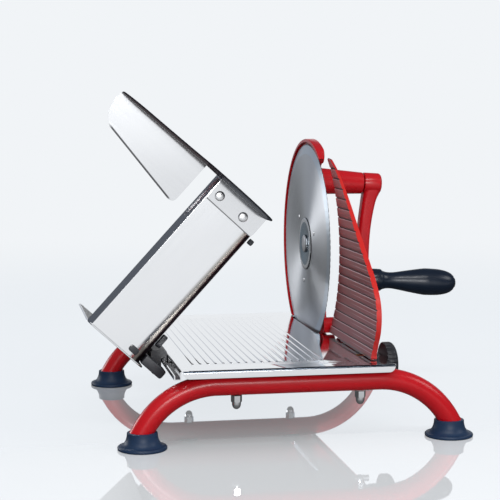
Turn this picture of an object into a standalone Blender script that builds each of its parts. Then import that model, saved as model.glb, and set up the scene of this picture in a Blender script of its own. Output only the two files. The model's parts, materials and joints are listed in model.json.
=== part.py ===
"""Hand-cranked food slicer: tube stand, ribbed plate, geared blade, stop plate and tilting carriage.

Units are metres, +Z up. The model is built around the blade axle at table level, with +X from the
carriage side to the crank side and +Y away from the user, and is then set over its own middle.
"""

from math import asin, cos, pi, radians, sin, sqrt, tan

import bmesh
import bpy
from mathutils import Matrix, Vector

MM = 0.001

# Clearances
REST_GAP = 0.3 * MM
RUNNING_GAP = 0.4 * MM
CUT = 2.0 * MM

# Stand
TUBE_DIAMETER = 18.0 * MM
TUBE_WALL = 1.6 * MM
BOW_RADIUS = 69.4 * MM
BOW_ANGLE = radians(60.0)
BOW_STRAIGHT = 136.0 * MM
BOW_MIDDLE_X = -52.0 * MM
BOW_INSET = 15.0 * MM
STUD_SPACING = 104.0 * MM
STUD_DIAMETER = 5.0 * MM
FOOT_DIAMETER = 41.0 * MM
FOOT_NECK_DIAMETER = 25.0 * MM
FOOT_HEIGHT = 14.0 * MM
FOOT_CUP_DIAMETER = 27.0 * MM
FOOT_CUP_DEPTH = 2.2 * MM
TUBE_END_HEIGHT = 9.5 * MM
NUT_FLATS = 8.0 * MM
NUT_HEX_HEIGHT = 5.5 * MM
NUT_HEIGHT = 11.5 * MM

# Base plate
PLATE_TOP = 65.0 * MM
SHEET = 1.0 * MM
PLATE_FRONT_Y = -219.0 * MM
PLATE_BACK_Y = 82.0 * MM
PLATE_LEFT_X = -151.0 * MM
PLATE_RIGHT_X = 27.0 * MM
RIM_HEIGHT = 6.5 * MM
RIM_CORNER = 5.0 * MM
SIDE_RIM_HEIGHT = 4.8 * MM
CHANNEL_WIDTH = 4.0 * MM
CHANNEL_LIP = 4.0 * MM
RIB_PITCH = 6.4 * MM
RIB_COUNT = 18
RIB_WIDTH = 2.6 * MM
RIB_HEIGHT = 0.5 * MM
RIB_FIRST_X = -28.6 * MM
RIB_FRONT_MARGIN = 29.0 * MM
RIB_BACK_MARGIN = 26.0 * MM

# Blade
BLADE_DIAMETER = 190.0 * MM
BLADE_THICKNESS = 1.2 * MM
BLADE_BELOW_PLATE = 16.7 * MM
BEVEL_WIDTH = 9.5 * MM
EDGE_THICKNESS = 0.3 * MM
WAVE_COUNT = 105
WAVE_POINTS = 2
WAVE_DEPTH = 0.6 * MM
HUB_DIAMETER = 50.0 * MM
HUB_RISE = 1.2 * MM
HUB_DISH_DIAMETER = 30.0 * MM
BLADE_BORE = 10.0 * MM
RIVET_CIRCLE = 73.0 * MM
RIVET_DIAMETER = 3.0 * MM
RIVET_FACE_DIAMETER = 4.6 * MM
BLADE_RIVETS = 3
SLOT_CLEARANCE = 3.5 * MM

# Gear pair
MODULE = 2.0 * MM
GEAR_TEETH = 45
PINION_TEETH = 15
GEAR_FACE = 5.0 * MM
GEAR_START_X = 2.6 * MM
GEAR_BOSS_DIAMETER = 40.0 * MM
GEAR_HOLES = 6
GEAR_HOLE_DIAMETER = 14.0 * MM
GEAR_HOLE_CIRCLE = 56.0 * MM
MESH_PLAY = 0.3 * MM
TOOTH_THINNING = 0.3 * MM
AXLE_DIAMETER = 8.0 * MM

# Gear housing
BLADE_CLEARANCE = 2.0 * MM
HOUSING_WALL = 3.0 * MM
HOUSING_FRONT_X = -0.4 * MM
HOUSING_RIM_BACK_X = 8.0 * MM
HOUSING_BACK_X = 11.2 * MM
HOUSING_EDGE = 1.0 * MM
HOOK_ANGLE = radians(22.5)
LIP_ANGLE = radians(33.5)
HOOK_ROUND = 7.5 * MM
GEAR_POCKET_CLEARANCE = 2.0 * MM
GEAR_BULGE_WALL = 4.0 * MM
SLEEVE_START_DIAMETER = 25.0 * MM
SLEEVE_END_DIAMETER = 20.5 * MM
SLEEVE_END_X = 55.0 * MM
BUSH_DIAMETER = 12.0 * MM
BUSH_LENGTH = 12.0 * MM
CRANK_TILT = radians(3.4)
HOUSING_SCREW_DIAMETER = 4.0 * MM
HOUSING_SCREW_HEAD = 7.0 * MM
HOUSING_SCREW_LENGTH = 12.0 * MM
HOUSING_SCREW_Y = 25.0 * MM

# Crank
CRANK_RADIUS = 93.0 * MM
CRANK_HUB_DIAMETER = 20.5 * MM
CRANK_HUB_LENGTH = 17.0 * MM
CRANK_EYE_DIAMETER = 18.0 * MM
CRANK_ARM_WIDTH = 13.0 * MM
CRANK_ARM_THICKNESS = 11.5 * MM
CRANK_ARM_SET_IN = 5.0 * MM
CRANK_EYE_SET_IN = 2.3 * MM
SPINDLE_DIAMETER = 6.0 * MM
SPINDLE_HEAD_DIAMETER = 10.0 * MM
SPINDLE_HEAD_HEIGHT = 1.4 * MM
HANDLE_LENGTH = 84.0 * MM
HANDLE_COLLAR_DIAMETER = 21.5 * MM
HANDLE_NECK_DIAMETER = 15.8 * MM
HANDLE_BELLY_DIAMETER = 26.0 * MM

# Stop plate
STOP_TOE = radians(3.0)
STOP_PIVOT_Y = -80.0 * MM
SLICE_AT_REST = 7.0 * MM
STOP_THICKNESS = 5.5 * MM
STOP_SKIN = 2.6 * MM
STOP_RIM = 3.0 * MM
STOP_CLEARANCE = 1.5 * MM
STOP_TIP_DROP = 17.5 * MM
STOP_WIDTH = 116.0 * MM
STOP_BOTTOM_GAP = 3.0 * MM
STOP_RIB_PITCH = 8.4 * MM
STOP_RIB_DEPTH = 0.9 * MM
STOP_TRAVEL_IN = 7.0 * MM
STOP_TRAVEL_OUT = 8.0 * MM
STOP_TAB_WIDTH = 9.0 * MM
STOP_TAB_THICKNESS = 3.5 * MM
STOP_TAB_HEIGHT = 14.0 * MM
STOP_EDGE = (
    (0.313, 1.0), (0.432, 0.918), (0.57, 0.779), (0.699, 0.63), (0.828, 0.498), (0.915, 0.406),
    (0.977, 0.318), (1.0, 0.236), (0.991, 0.147), (0.956, 0.065), (0.929, 0.0),
)

# Thickness setting
KNOB_Y = -172.0 * MM
KNOB_DIAMETER = 36.0 * MM
KNOB_LENGTH = 10.5 * MM
KNOB_RIDGES = 30
KNOB_RIDGE_DEPTH = 0.7 * MM
SCREW_DIAMETER = 8.0 * MM
SCREW_INNER_X = -11.0 * MM
FOLLOWER_LENGTH = 11.0 * MM
GUIDE_ROD_DIAMETER = 6.0 * MM
GUIDE_ROD_END_X = 48.0 * MM
GUIDE_POST_DIAMETER = 14.5 * MM
GUIDE_POST_END_X = 14.0 * MM
GUIDE_POST_INSET = 14.9 * MM
GUIDE_POST_HEIGHT = 8.2 * MM
SLIDE_ARM_LENGTH = 8.0 * MM
SLIDE_ARM_HEIGHT = 12.0 * MM
SLIDE_ARM_REACH = 22.5 * MM
SLIDE_ARM_PALM = 25.0 * MM
SLIDE_ARM_THICKNESS = 4.0 * MM

# Carriage
CARRIAGE_TILT = radians(47.5)
HINGE_X = -161.5 * MM
HINGE_DROP = 11.7 * MM
TRAY_SHEET = 1.2 * MM
TRAY_WALL_Y = -158.0 * MM
TRAY_DEPTH = 105.0 * MM
TRAY_HEIGHT = 57.4 * MM
TRAY_LEFT_X = -167.3 * MM
TRAY_RIGHT_X = -4.6 * MM
TRAY_FLOOR_RISE = 5.3 * MM
TRAY_BEND = 6.0 * MM
TRAY_BAND = 4.4 * MM
TRAY_END_DROP = 4.0 * MM
TRAY_END_CORNER = 6.0 * MM
GUARD_SHEET = 1.2 * MM
GUARD_X = -6.6 * MM
GUARD_TAB_WIDTH = 20.0 * MM
GUARD_TAB_HEIGHT = 52.4 * MM
GUARD_DEPTH = 45.0 * MM
GUARD_BULGE = 12.0 * MM
GUARD_FIN_START = 70.0 * MM
GUARD_FIN_TOP = 162.0 * MM
GUARD_FIN_WIDTH = 43.7 * MM
GUARD_LEAN = 0.028
GUARD_CORNER = 6.0 * MM
RIVET_HEAD = 8.4 * MM
RIVET_SHANK = 4.0 * MM
RIVET_INSET = 13.3 * MM
RIVET_HEIGHTS = (18.0 * MM, 44.5 * MM)
BLOCK_WIDTH = 8.4 * MM
BLOCK_LENGTH = 16.0 * MM
BLOCK_FAR_LENGTH = 12.0 * MM
SLIDER_LENGTH = 27.0 * MM
SLIDER_WIDTH = 8.7 * MM
SLIDER_TOP_GAP = 1.0 * MM
HINGE_PIN_DIAMETER = 4.0 * MM
GLIDER_LENGTH = 12.0 * MM
PEG_DIAMETER = 5.0 * MM
CLIP_SHANK = 3.0 * MM

# Worked out from the sizes above
PLATE_UNDER = PLATE_TOP - SHEET
RIM_BOTTOM = PLATE_TOP - RIM_HEIGHT
TUBE_TOP = RIM_BOTTOM + 1.0 * MM
TUBE_AXIS_Z = TUBE_TOP - TUBE_DIAMETER / 2
BLADE_RADIUS = BLADE_DIAMETER / 2
BLADE_POCKET_RADIUS = BLADE_RADIUS + BLADE_CLEARANCE
HOUSING_RADIUS = BLADE_POCKET_RADIUS + HOUSING_WALL
STOP_ARC_RADIUS = HOUSING_RADIUS + STOP_CLEARANCE
STOP_TIP_HEIGHT = STOP_ARC_RADIUS - STOP_TIP_DROP
STOP_REACH = STOP_ARC_RADIUS + STOP_WIDTH
BLADE_ABOVE_PLATE = BLADE_RADIUS - BLADE_BELOW_PLATE
BLADE_Z = PLATE_TOP + BLADE_ABOVE_PLATE
GUIDE_POST_DROP = BLADE_ABOVE_PLATE - GUIDE_POST_HEIGHT
GUIDE_POST_Y = GUIDE_POST_INSET - sqrt(STOP_ARC_RADIUS ** 2 - GUIDE_POST_DROP ** 2)
GEAR_DISTANCE = MODULE * (GEAR_TEETH + PINION_TEETH) / 2 + MESH_PLAY
PINION_Z = BLADE_Z + GEAR_DISTANCE
PINION_MIDDLE_X = GEAR_START_X + GEAR_FACE / 2
GEAR_RADIUS = MODULE * GEAR_TEETH / 2
PINION_RADIUS = MODULE * PINION_TEETH / 2
GEAR_POCKET = GEAR_RADIUS + MODULE + GEAR_POCKET_CLEARANCE
PINION_POCKET = PINION_RADIUS + MODULE + GEAR_POCKET_CLEARANCE
SCREW_Z = PLATE_UNDER - RUNNING_GAP - SCREW_DIAMETER / 2 - 2.2 * MM
FLOOR_UNDER = PLATE_TOP + TRAY_FLOOR_RISE
HINGE_Z = PLATE_TOP - HINGE_DROP
CHANNEL_DEPTH = RIM_HEIGHT + SHEET
RED = (0.58, 0.006, 0.012)
STEEL = (0.62, 0.62, 0.63)
DARK_STEEL = (0.42, 0.43, 0.45)
BLACK = (0.012, 0.013, 0.017)
NAVY = (0.016, 0.03, 0.06)
BRONZE = (0.55, 0.33, 0.13)
NYLON = (0.75, 0.72, 0.64)
CHROME = (0.8, 0.8, 0.82)


def clear_scene():
    """Remove what the file opened with."""
    for thing in list(bpy.data.objects):
        bpy.data.objects.remove(thing, do_unlink=True)


def material(name, colour, roughness, metallic):
    made = bpy.data.materials.get(name) or bpy.data.materials.new(name)
    made.use_nodes = True
    shader = made.node_tree.nodes["Principled BSDF"]
    shader.inputs["Base Color"].default_value = (*colour, 1.0)
    shader.inputs["Roughness"].default_value = roughness
    shader.inputs["Metallic"].default_value = metallic
    made.diffuse_color = (*colour, 1.0)
    return made


def finish_red():
    return material("red_powder_coat", RED, 0.22, 0.0)


def finish_steel():
    return material("polished_stainless", STEEL, 0.22, 1.0)


def finish_dark_steel():
    return material("turned_steel", DARK_STEEL, 0.35, 1.0)


def finish_black():
    return material("black_plastic", BLACK, 0.35, 0.0)


def finish_rubber():
    return material("navy_rubber", NAVY, 0.5, 0.0)


def finish_bronze():
    return material("sintered_bronze", BRONZE, 0.4, 1.0)


def finish_nylon():
    return material("gear_nylon", NYLON, 0.45, 0.0)


def finish_chrome():
    return material("chrome", CHROME, 0.08, 1.0)


def finish_blade():
    return material("ground_blade_steel", STEEL, 0.2, 1.0)


def empty(name, place, parent=None):
    """A joint or group centre that pieces hang from."""
    made = bpy.data.objects.new(name, None)
    bpy.context.scene.collection.objects.link(made)
    made.location = place
    if parent:
        made.parent = parent
    return made


def object_from(name, shape, finish, parent=None, place=(0, 0, 0), smooth=True):
    """Turn a bmesh into one named object."""
    bmesh.ops.remove_doubles(shape, verts=shape.verts, dist=1e-6)
    bmesh.ops.recalc_face_normals(shape, faces=shape.faces)
    mesh = bpy.data.meshes.new(name)
    shape.to_mesh(mesh)
    shape.free()
    if smooth:
        mesh.shade_smooth()
        mesh.set_sharp_from_angle(angle=radians(35))
    made = bpy.data.objects.new(name, mesh)
    bpy.context.scene.collection.objects.link(made)
    made.location = place
    if parent:
        made.parent = parent
    if finish:
        mesh.materials.append(finish)
    return made


def cutter(shape, owner, operation="DIFFERENCE"):
    """Use a shape as a tool on its owner: it is hidden and left out of the build."""
    tool = object_from(owner.name + "_tool", shape, None, parent=owner, smooth=False)
    tool.hide_render = True
    tool.display_type = "WIRE"
    cut = owner.modifiers.new("cut", "BOOLEAN")
    cut.operation = operation
    cut.solver = "EXACT"
    cut.object = tool
    return tool


def extruded(outline, axis, start, end):
    """A prism: outline points are the two coordinates other than the axis, in X, Y, Z order."""
    shape = bmesh.new()
    order = {
        "X": lambda a, b, c: (c, a, b),
        "Y": lambda a, b, c: (a, c, b),
        "Z": lambda a, b, c: (a, b, c),
    }[axis]
    corners = [shape.verts.new(order(a, b, start)) for a, b in outline]
    face = shape.faces.new(corners)
    grown = bmesh.ops.extrude_face_region(shape, geom=[face])
    moved = [item for item in grown["geom"] if isinstance(item, bmesh.types.BMVert)]
    bmesh.ops.translate(shape, verts=moved, vec=Vector(order(0, 0, end - start)))
    return shape


def turned(profile, axis, segments, centre=(0, 0, 0)):
    """Spin a profile of (along the axis, radius) points into a closed solid or ring."""
    shape = bmesh.new()
    along = {"X": Vector((1, 0, 0)), "Y": Vector((0, 1, 0)), "Z": Vector((0, 0, 1))}[axis]
    out = {"X": Vector((0, 0, 1)), "Y": Vector((0, 0, 1)), "Z": Vector((1, 0, 0))}[axis]
    middle = Vector(centre)
    points = [shape.verts.new(middle + along * s + out * r) for s, r in profile]
    ring = profile[0][1] > 1e-7 and profile[-1][1] > 1e-7
    edges = [shape.edges.new((points[i], points[i + 1])) for i in range(len(points) - 1)]
    if ring:
        edges.append(shape.edges.new((points[-1], points[0])))
    bmesh.ops.spin(
        shape, geom=points + edges, cent=middle, axis=along, angle=2 * pi, steps=segments, use_merge=True
    )
    bmesh.ops.remove_doubles(shape, verts=shape.verts, dist=1e-6)
    return shape


def cylinder(axis, start, end, radius, segments, centre=(0, 0, 0)):
    """A plain cylinder between two places on an axis."""
    circle = [
        (radius * cos(2 * pi * i / segments), radius * sin(2 * pi * i / segments)) for i in range(segments)
    ]
    return moved(extruded(circle, axis, start, end), Matrix.Translation(centre))


def joined(*shapes):
    """Put several bmeshes in one; where they meet, a Boolean or a shared face must close them."""
    whole = bmesh.new()
    for shape in shapes:
        mesh = bpy.data.meshes.new("part_of_shape")
        shape.to_mesh(mesh)
        shape.free()
        whole.from_mesh(mesh)
        bpy.data.meshes.remove(mesh)
    return whole


def moved(shape, turn):
    """Place a bmesh by a matrix."""
    bmesh.ops.transform(shape, matrix=turn, verts=shape.verts)
    return shape


def lofted(sections):
    """Skin closed sections of equal point counts, with flat ends."""
    shape = bmesh.new()
    rings = [[shape.verts.new(point) for point in section] for section in sections]
    count = len(rings[0])
    for lower, upper in zip(rings, rings[1:]):
        for i in range(count):
            shape.faces.new((lower[i], lower[(i + 1) % count], upper[(i + 1) % count], upper[i]))
    shape.faces.new(list(reversed(rings[0])))
    shape.faces.new(rings[-1])
    return shape


def arc(centre, radius, start, end, steps):
    """Points on an arc, angles from the first axis towards the second, both ends included."""
    return [
        (
            centre[0] + radius * cos(start + (end - start) * i / steps),
            centre[1] + radius * sin(start + (end - start) * i / steps),
        )
        for i in range(steps + 1)
    ]


def box_outline(a0, a1, b0, b1):
    return [(a0, b0), (a1, b0), (a1, b1), (a0, b1)]


def rounded_box(a0, a1, b0, b1, radius, steps=3):
    """A rectangle with round corners, anticlockwise."""
    points = []
    points += arc((a1 - radius, b0 + radius), radius, -pi / 2, 0, steps)
    points += arc((a1 - radius, b1 - radius), radius, 0, pi / 2, steps)
    points += arc((a0 + radius, b1 - radius), radius, pi / 2, pi, steps)
    points += arc((a0 + radius, b0 + radius), radius, pi, 3 * pi / 2, steps)
    return points


def smooth_line(points, steps):
    """A Catmull-Rom curve through the points, both ends included."""
    line = []
    last = len(points) - 1
    for i in range(last):
        before = points[max(i - 1, 0)]
        here = points[i]
        after = points[i + 1]
        beyond = points[min(i + 2, last)]
        for step in range(steps):
            t = step / steps
            line.append(
                tuple(
                    0.5
                    * (
                        2 * here[k]
                        + (after[k] - before[k]) * t
                        + (2 * before[k] - 5 * here[k] + 4 * after[k] - beyond[k]) * t * t
                        + (3 * here[k] - before[k] - 3 * after[k] + beyond[k]) * t ** 3
                    )
                    for k in range(len(here))
                )
            )
    line.append(tuple(points[-1]))
    return line


def rounded_corners(points, radii, steps=3):
    """Round each corner of a closed outline by its own radius; none where the radius is zero."""
    out = []
    count = len(points)
    for i in range(count):
        here = Vector(points[i])
        if not radii[i]:
            out.append(points[i])
            continue
        back = Vector(points[i - 1]) - here
        ahead = Vector(points[(i + 1) % count]) - here
        reach = min(radii[i] / tan(back.angle(ahead) / 2), back.length * 0.48, ahead.length * 0.48)
        start = here + back.normalized() * reach
        end = here + ahead.normalized() * reach
        for k in range(steps + 1):
            t = k / steps
            spot = start.lerp(here, t).lerp(here.lerp(end, t), t)
            out.append((spot.x, spot.y))
    return out


def bevelled(thing, width, segments=2, angle=radians(40)):
    edge = thing.modifiers.new("edges", "BEVEL")
    edge.width = width
    edge.segments = segments
    edge.limit_method = "ANGLE"
    edge.angle_limit = angle
    edge.use_clamp_overlap = True
    return edge


def gear_outline(teeth, module, thinning, phase):
    """One involute-like tooth per pitch: root, flank, pitch point, crest and back."""
    pitch_radius = module * teeth / 2
    root = pitch_radius - 1.25 * module
    crest = pitch_radius + 0.92 * module
    half_pitch = (pi * module / 2 - thinning) / 2 / pitch_radius
    half_crest = half_pitch * 0.44
    half_root = half_pitch * 1.42
    points = []
    for k in range(teeth):
        middle = phase + 2 * pi * k / teeth
        flanks = (
            (root, -half_root),
            (pitch_radius, -half_pitch),
            (crest, -half_crest),
            (crest, half_crest),
            (pitch_radius, half_pitch),
            (root, half_root),
        )
        points += [(radius * cos(middle + turn), radius * sin(middle + turn)) for radius, turn in flanks]
    return points


def bow_line():
    """Centre line of half a stand bow in its own plane, from the middle out to the tube's end."""
    line = [(0.0, TUBE_AXIS_Z)]
    start = BOW_STRAIGHT / 2
    for i in range(8):
        turn = BOW_ANGLE * i / 7
        line.append((start + BOW_RADIUS * sin(turn), TUBE_AXIS_Z - BOW_RADIUS * (1 - cos(turn))))
    last = line[-1]
    run = (last[1] - TUBE_END_HEIGHT) / sin(BOW_ANGLE)
    line.append((last[0] + run * cos(BOW_ANGLE), TUBE_END_HEIGHT))
    return line


def swept_tube(line, radius, segments, overrun=0.0):
    """Sweep a circle along a line in the XZ plane, square to it at every point."""
    points = [Vector((x, 0, z)) for x, z in line]
    if overrun:
        points[0] += (points[0] - points[1]).normalized() * overrun
        points[-1] += (points[-1] - points[-2]).normalized() * overrun
    sections = []
    for i, point in enumerate(points):
        ahead = (points[min(i + 1, len(points) - 1)] - points[max(i - 1, 0)]).normalized()
        across = Vector((0, 1, 0)).cross(ahead)
        ring = []
        for k in range(segments):
            turn = 2 * pi * k / segments
            ring.append(point + Vector((0, 1, 0)) * radius * cos(turn) + across * radius * sin(turn))
        sections.append(ring)
    return lofted(sections)


def leg_axis_x(height):
    """Distance of the leg's axis from the bow's middle at a height on its straight end."""
    end = bow_line()[-1]
    return end[0] - (height - end[1]) / tan(BOW_ANGLE)


def stud_places():
    return [BOW_MIDDLE_X - STUD_SPACING / 2, BOW_MIDDLE_X + STUD_SPACING / 2]


def bow_places():
    return {"front": PLATE_FRONT_Y + BOW_INSET, "rear": PLATE_BACK_Y - BOW_INSET}


def make_stand(root):
    """Two bent tube bows, each on two suction feet, with the nuts that hold them to the plate."""
    half = bow_line()
    line = [(-x, z) for x, z in reversed(half)] + half[1:]
    for side, y in bow_places().items():
        tube = swept_tube(line, TUBE_DIAMETER / 2, 12)
        bow = object_from(side + "_bow", tube, finish_red(), root, (BOW_MIDDLE_X, y, 0))
        cutter(swept_tube(line, TUBE_DIAMETER / 2 - TUBE_WALL, 8, CUT), bow)
        bore = STUD_DIAMETER / 2 + REST_GAP
        low = TUBE_AXIS_Z - TUBE_DIAMETER
        holes = [cylinder("Z", low, PLATE_TOP, bore, 12, (x - BOW_MIDDLE_X, 0, 0)) for x in stud_places()]
        cutter(joined(*holes), bow)
        for name, x in zip(("left", "right"), stud_places()):
            make_saddle(f"{side}_{name}_saddle", (x, y, 0), root)
            make_acorn_nut(f"{side}_{name}_nut", (x, y, 0), root)
        for name, sign in (("left", -1), ("right", 1)):
            make_foot(f"foot_{side}_{name}", sign, y, root)


def make_saddle(name, place, root):
    """Spacer between the plate and the tube, hollowed to the tube."""
    outline = rounded_box(-8 * MM, 8 * MM, -6.5 * MM, 6.5 * MM, 2 * MM)
    body = extruded(outline, "Z", TUBE_TOP - 2.4 * MM, PLATE_UNDER - REST_GAP)
    block = object_from(name, body, finish_black(), root, place)
    seat = TUBE_DIAMETER / 2 + REST_GAP
    tube = cylinder("X", -20 * MM, 20 * MM, seat, 16, (0, 0, TUBE_AXIS_Z))
    cutter(tube, block)
    bore = STUD_DIAMETER / 2 + REST_GAP
    hole = cylinder("Z", TUBE_AXIS_Z, PLATE_TOP, bore, 12)
    cutter(hole, block)


def nut_top():
    return TUBE_AXIS_Z - TUBE_DIAMETER / 2 - REST_GAP


def make_acorn_nut(name, place, root):
    """Domed nut on the weld stud, seen under the tube."""
    top = nut_top()
    corner = NUT_FLATS / 2 / cos(pi / 6)
    hexagon = [(corner * cos(pi / 3 * i), corner * sin(pi / 3 * i)) for i in range(6)]
    nut = object_from(name, extruded(hexagon, "Z", top - NUT_HEX_HEIGHT, top), finish_chrome(), root, place)
    dome = NUT_FLATS / 2 - REST_GAP
    rise = NUT_HEIGHT - NUT_HEX_HEIGHT
    curve = [(top - NUT_HEX_HEIGHT - rise * sin(t * pi / 8), dome * cos(t * pi / 8)) for t in range(4)]
    cap = turned([(top - 1 * MM, 0), (top - 1 * MM, dome)] + curve + [(top - NUT_HEIGHT, 0)], "Z", 12)
    cutter(cap, nut, "UNION")
    bore = STUD_DIAMETER / 2 + REST_GAP
    cutter(cylinder("Z", top - NUT_HEIGHT + 2.5 * MM, top + CUT, bore, 12), nut)


def foot_x(sign):
    return BOW_MIDDLE_X + sign * leg_axis_x(FOOT_HEIGHT)


def make_foot(name, sign, y, root):
    """Rubber suction foot: wide skirt, narrow neck with the leg's socket, hollow cup below."""
    skirt = FOOT_DIAMETER / 2
    neck = FOOT_NECK_DIAMETER / 2
    cup = FOOT_CUP_DIAMETER / 2
    profile = [(FOOT_CUP_DEPTH, 0), (FOOT_CUP_DEPTH * 0.8, cup * 0.6), (0, cup), (0, skirt - 0.5 * MM)]
    profile += [(0.6 * MM, skirt), (2.2 * MM, skirt)]
    flare = FOOT_HEIGHT - 3.2 * MM
    waist = skirt - 0.8 * MM - neck
    for i in range(1, 5):
        turn = pi / 2 * i / 4
        profile.append((2.6 * MM + flare * (1 - cos(turn)), neck + waist * (1 - sin(turn))))
    profile += [(FOOT_HEIGHT, neck - 0.4 * MM), (FOOT_HEIGHT, 0)]
    foot = object_from(name, turned(profile, "Z", 18), finish_rubber(), root, (foot_x(sign), y, 0))
    plug = cylinder("Z", -REST_GAP, TUBE_DIAMETER, TUBE_DIAMETER / 2 + REST_GAP, 16)
    lean = Matrix.Rotation(-sign * (pi / 2 - BOW_ANGLE), 4, "Y")
    end_x = sign * (bow_line()[-1][0] - leg_axis_x(FOOT_HEIGHT))
    cutter(moved(plug, Matrix.Translation((end_x, 0, TUBE_END_HEIGHT)) @ lean), foot)


def flange_outline(a0, a1, top, bottom, corner):
    """A downturned flange with round lower corners, from left to right."""
    points = [(a0, top)]
    points += arc((a0 + corner, bottom + corner), corner, pi, 3 * pi / 2, 4)
    points += arc((a1 - corner, bottom + corner), corner, 3 * pi / 2, 2 * pi, 4)
    points.append((a1, top))
    return points


def slot_half_length():
    """Half the chord of the blade at the plate's top, with its clearance."""
    return sqrt(BLADE_RADIUS ** 2 - BLADE_ABOVE_PLATE ** 2) + SLOT_CLEARANCE


def make_base_plate(root):
    """Polished sheet: ribbed top, downturned rims, the carriage's channel, the slots and weld studs."""
    x0 = PLATE_LEFT_X
    x1 = PLATE_RIGHT_X
    notch = 1.5 * MM
    channel_low = PLATE_TOP - CHANNEL_DEPTH
    lip_x = x0 - SHEET - CHANNEL_WIDTH
    lip_top = channel_low + CHANNEL_LIP
    section = [(x1 - SHEET, PLATE_UNDER), (x1 - SHEET, PLATE_TOP), (x0 + SHEET, PLATE_TOP)]
    section += [(x0, PLATE_TOP - 0.3 * MM), (x0 - SHEET, PLATE_UNDER), (x0 - SHEET, channel_low + SHEET)]
    section += [(lip_x, channel_low + SHEET), (lip_x, lip_top), (lip_x - SHEET, lip_top)]
    section += [(lip_x - SHEET, channel_low + 0.6 * MM), (lip_x - 0.4 * MM, channel_low)]
    section += [(x0, channel_low), (x0, PLATE_UNDER)]
    section.reverse()
    folded = extruded(section, "Y", PLATE_FRONT_Y + SHEET, PLATE_BACK_Y - SHEET)
    plate = object_from("base_plate", folded, finish_steel(), root)
    flange = flange_outline(x0 + notch, x1 - SHEET - notch, PLATE_TOP - 0.3 * MM, RIM_BOTTOM, RIM_CORNER)
    for y0, y1 in ((PLATE_FRONT_Y, PLATE_FRONT_Y + SHEET), (PLATE_BACK_Y - SHEET, PLATE_BACK_Y)):
        cutter(extruded(flange, "Y", y0, y1), plate, "UNION")
    bend = box_outline(x0 + SHEET, x1 - SHEET, PLATE_UNDER, PLATE_TOP)
    bend_start = 0.35 * MM
    bend_end = SHEET + 0.4 * MM
    cutter(extruded(bend, "Y", PLATE_FRONT_Y + bend_start, PLATE_FRONT_Y + bend_end), plate, "UNION")
    cutter(extruded(bend, "Y", PLATE_BACK_Y - bend_end, PLATE_BACK_Y - bend_start), plate, "UNION")
    y0 = PLATE_FRONT_Y + SHEET + notch
    y1 = PLATE_BACK_Y - SHEET - notch
    right = flange_outline(y0, y1, PLATE_TOP - 0.2 * MM, PLATE_TOP - SIDE_RIM_HEIGHT, RIM_CORNER * 0.8)
    cutter(extruded(right, "X", x1 - SHEET - 0.2 * MM, x1), plate, "UNION")
    ear = BUSH_DIAMETER / 2 + 3 * MM
    bearing = arc((KNOB_Y, SCREW_Z), ear, pi, 2 * pi, 8)
    bearing = [(KNOB_Y - ear, PLATE_UNDER)] + bearing + [(KNOB_Y + ear, PLATE_UNDER)]
    cutter(extruded(bearing, "X", x1 - SHEET - 0.2 * MM, x1), plate, "UNION")
    cutter(rib_bars(), plate, "UNION")
    for x in stud_places():
        for y in bow_places().values():
            radius = STUD_DIAMETER / 2
            low = nut_top() - NUT_HEIGHT + 2.9 * MM
            stud = cylinder("Z", low, PLATE_UNDER + 0.4 * MM, radius, 12, (x, y, 0))
            cutter(stud, plate, "UNION")
    half = slot_half_length()
    blade_slot = rounded_box(-2.4 * MM, BLADE_THICKNESS + 2.0 * MM, -half, half, 1.6 * MM)
    cutter(extruded(blade_slot, "Z", PLATE_UNDER - CUT, PLATE_TOP + CUT), plate)
    bore = HOUSING_SCREW_DIAMETER / 2 + REST_GAP
    for place in housing_screw_places():
        cutter(cylinder("Z", PLATE_UNDER - CUT, PLATE_TOP + CUT, bore, 12, place), plate)
    tab_x = stop_tab_x()
    slot = rounded_box(
        tab_x - STOP_TRAVEL_IN - 0.8 * MM, tab_x + STOP_TAB_THICKNESS + STOP_TRAVEL_OUT + 0.8 * MM,
        KNOB_Y - STOP_TAB_WIDTH / 2 - 1 * MM, KNOB_Y + STOP_TAB_WIDTH / 2 + 1 * MM, 1.2 * MM,
    )
    cutter(extruded(slot, "Z", PLATE_UNDER - CUT, PLATE_TOP + CUT), plate)
    bore = SCREW_DIAMETER / 2 + RUNNING_GAP
    hole = cylinder("X", x1 - 4 * MM, x1 + 4 * MM, bore, 20, (0, KNOB_Y, SCREW_Z))
    cutter(hole, plate)
    return plate


def rib_bars():
    """The embossed ribs: low bars with sloping flanks and ends."""
    y0 = PLATE_FRONT_Y + RIB_FRONT_MARGIN
    y1 = PLATE_BACK_Y - RIB_BACK_MARGIN
    slope = RIB_WIDTH * 0.3
    bars = []
    for k in range(RIB_COUNT):
        x = RIB_FIRST_X - RIB_PITCH * k
        half = RIB_WIDTH / 2
        low = box_outline(x - half, x + half, y0, y1)
        high = box_outline(x - half + slope, x + half - slope, y0 + slope, y1 - slope)
        root = [(a, b, PLATE_TOP - 0.4 * MM) for a, b in low]
        foot = [(a, b, PLATE_TOP) for a, b in low]
        crest = [(a, b, PLATE_TOP + RIB_HEIGHT) for a, b in high]
        bars.append(lofted([root, foot, crest]))
    return joined(*bars)


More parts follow.
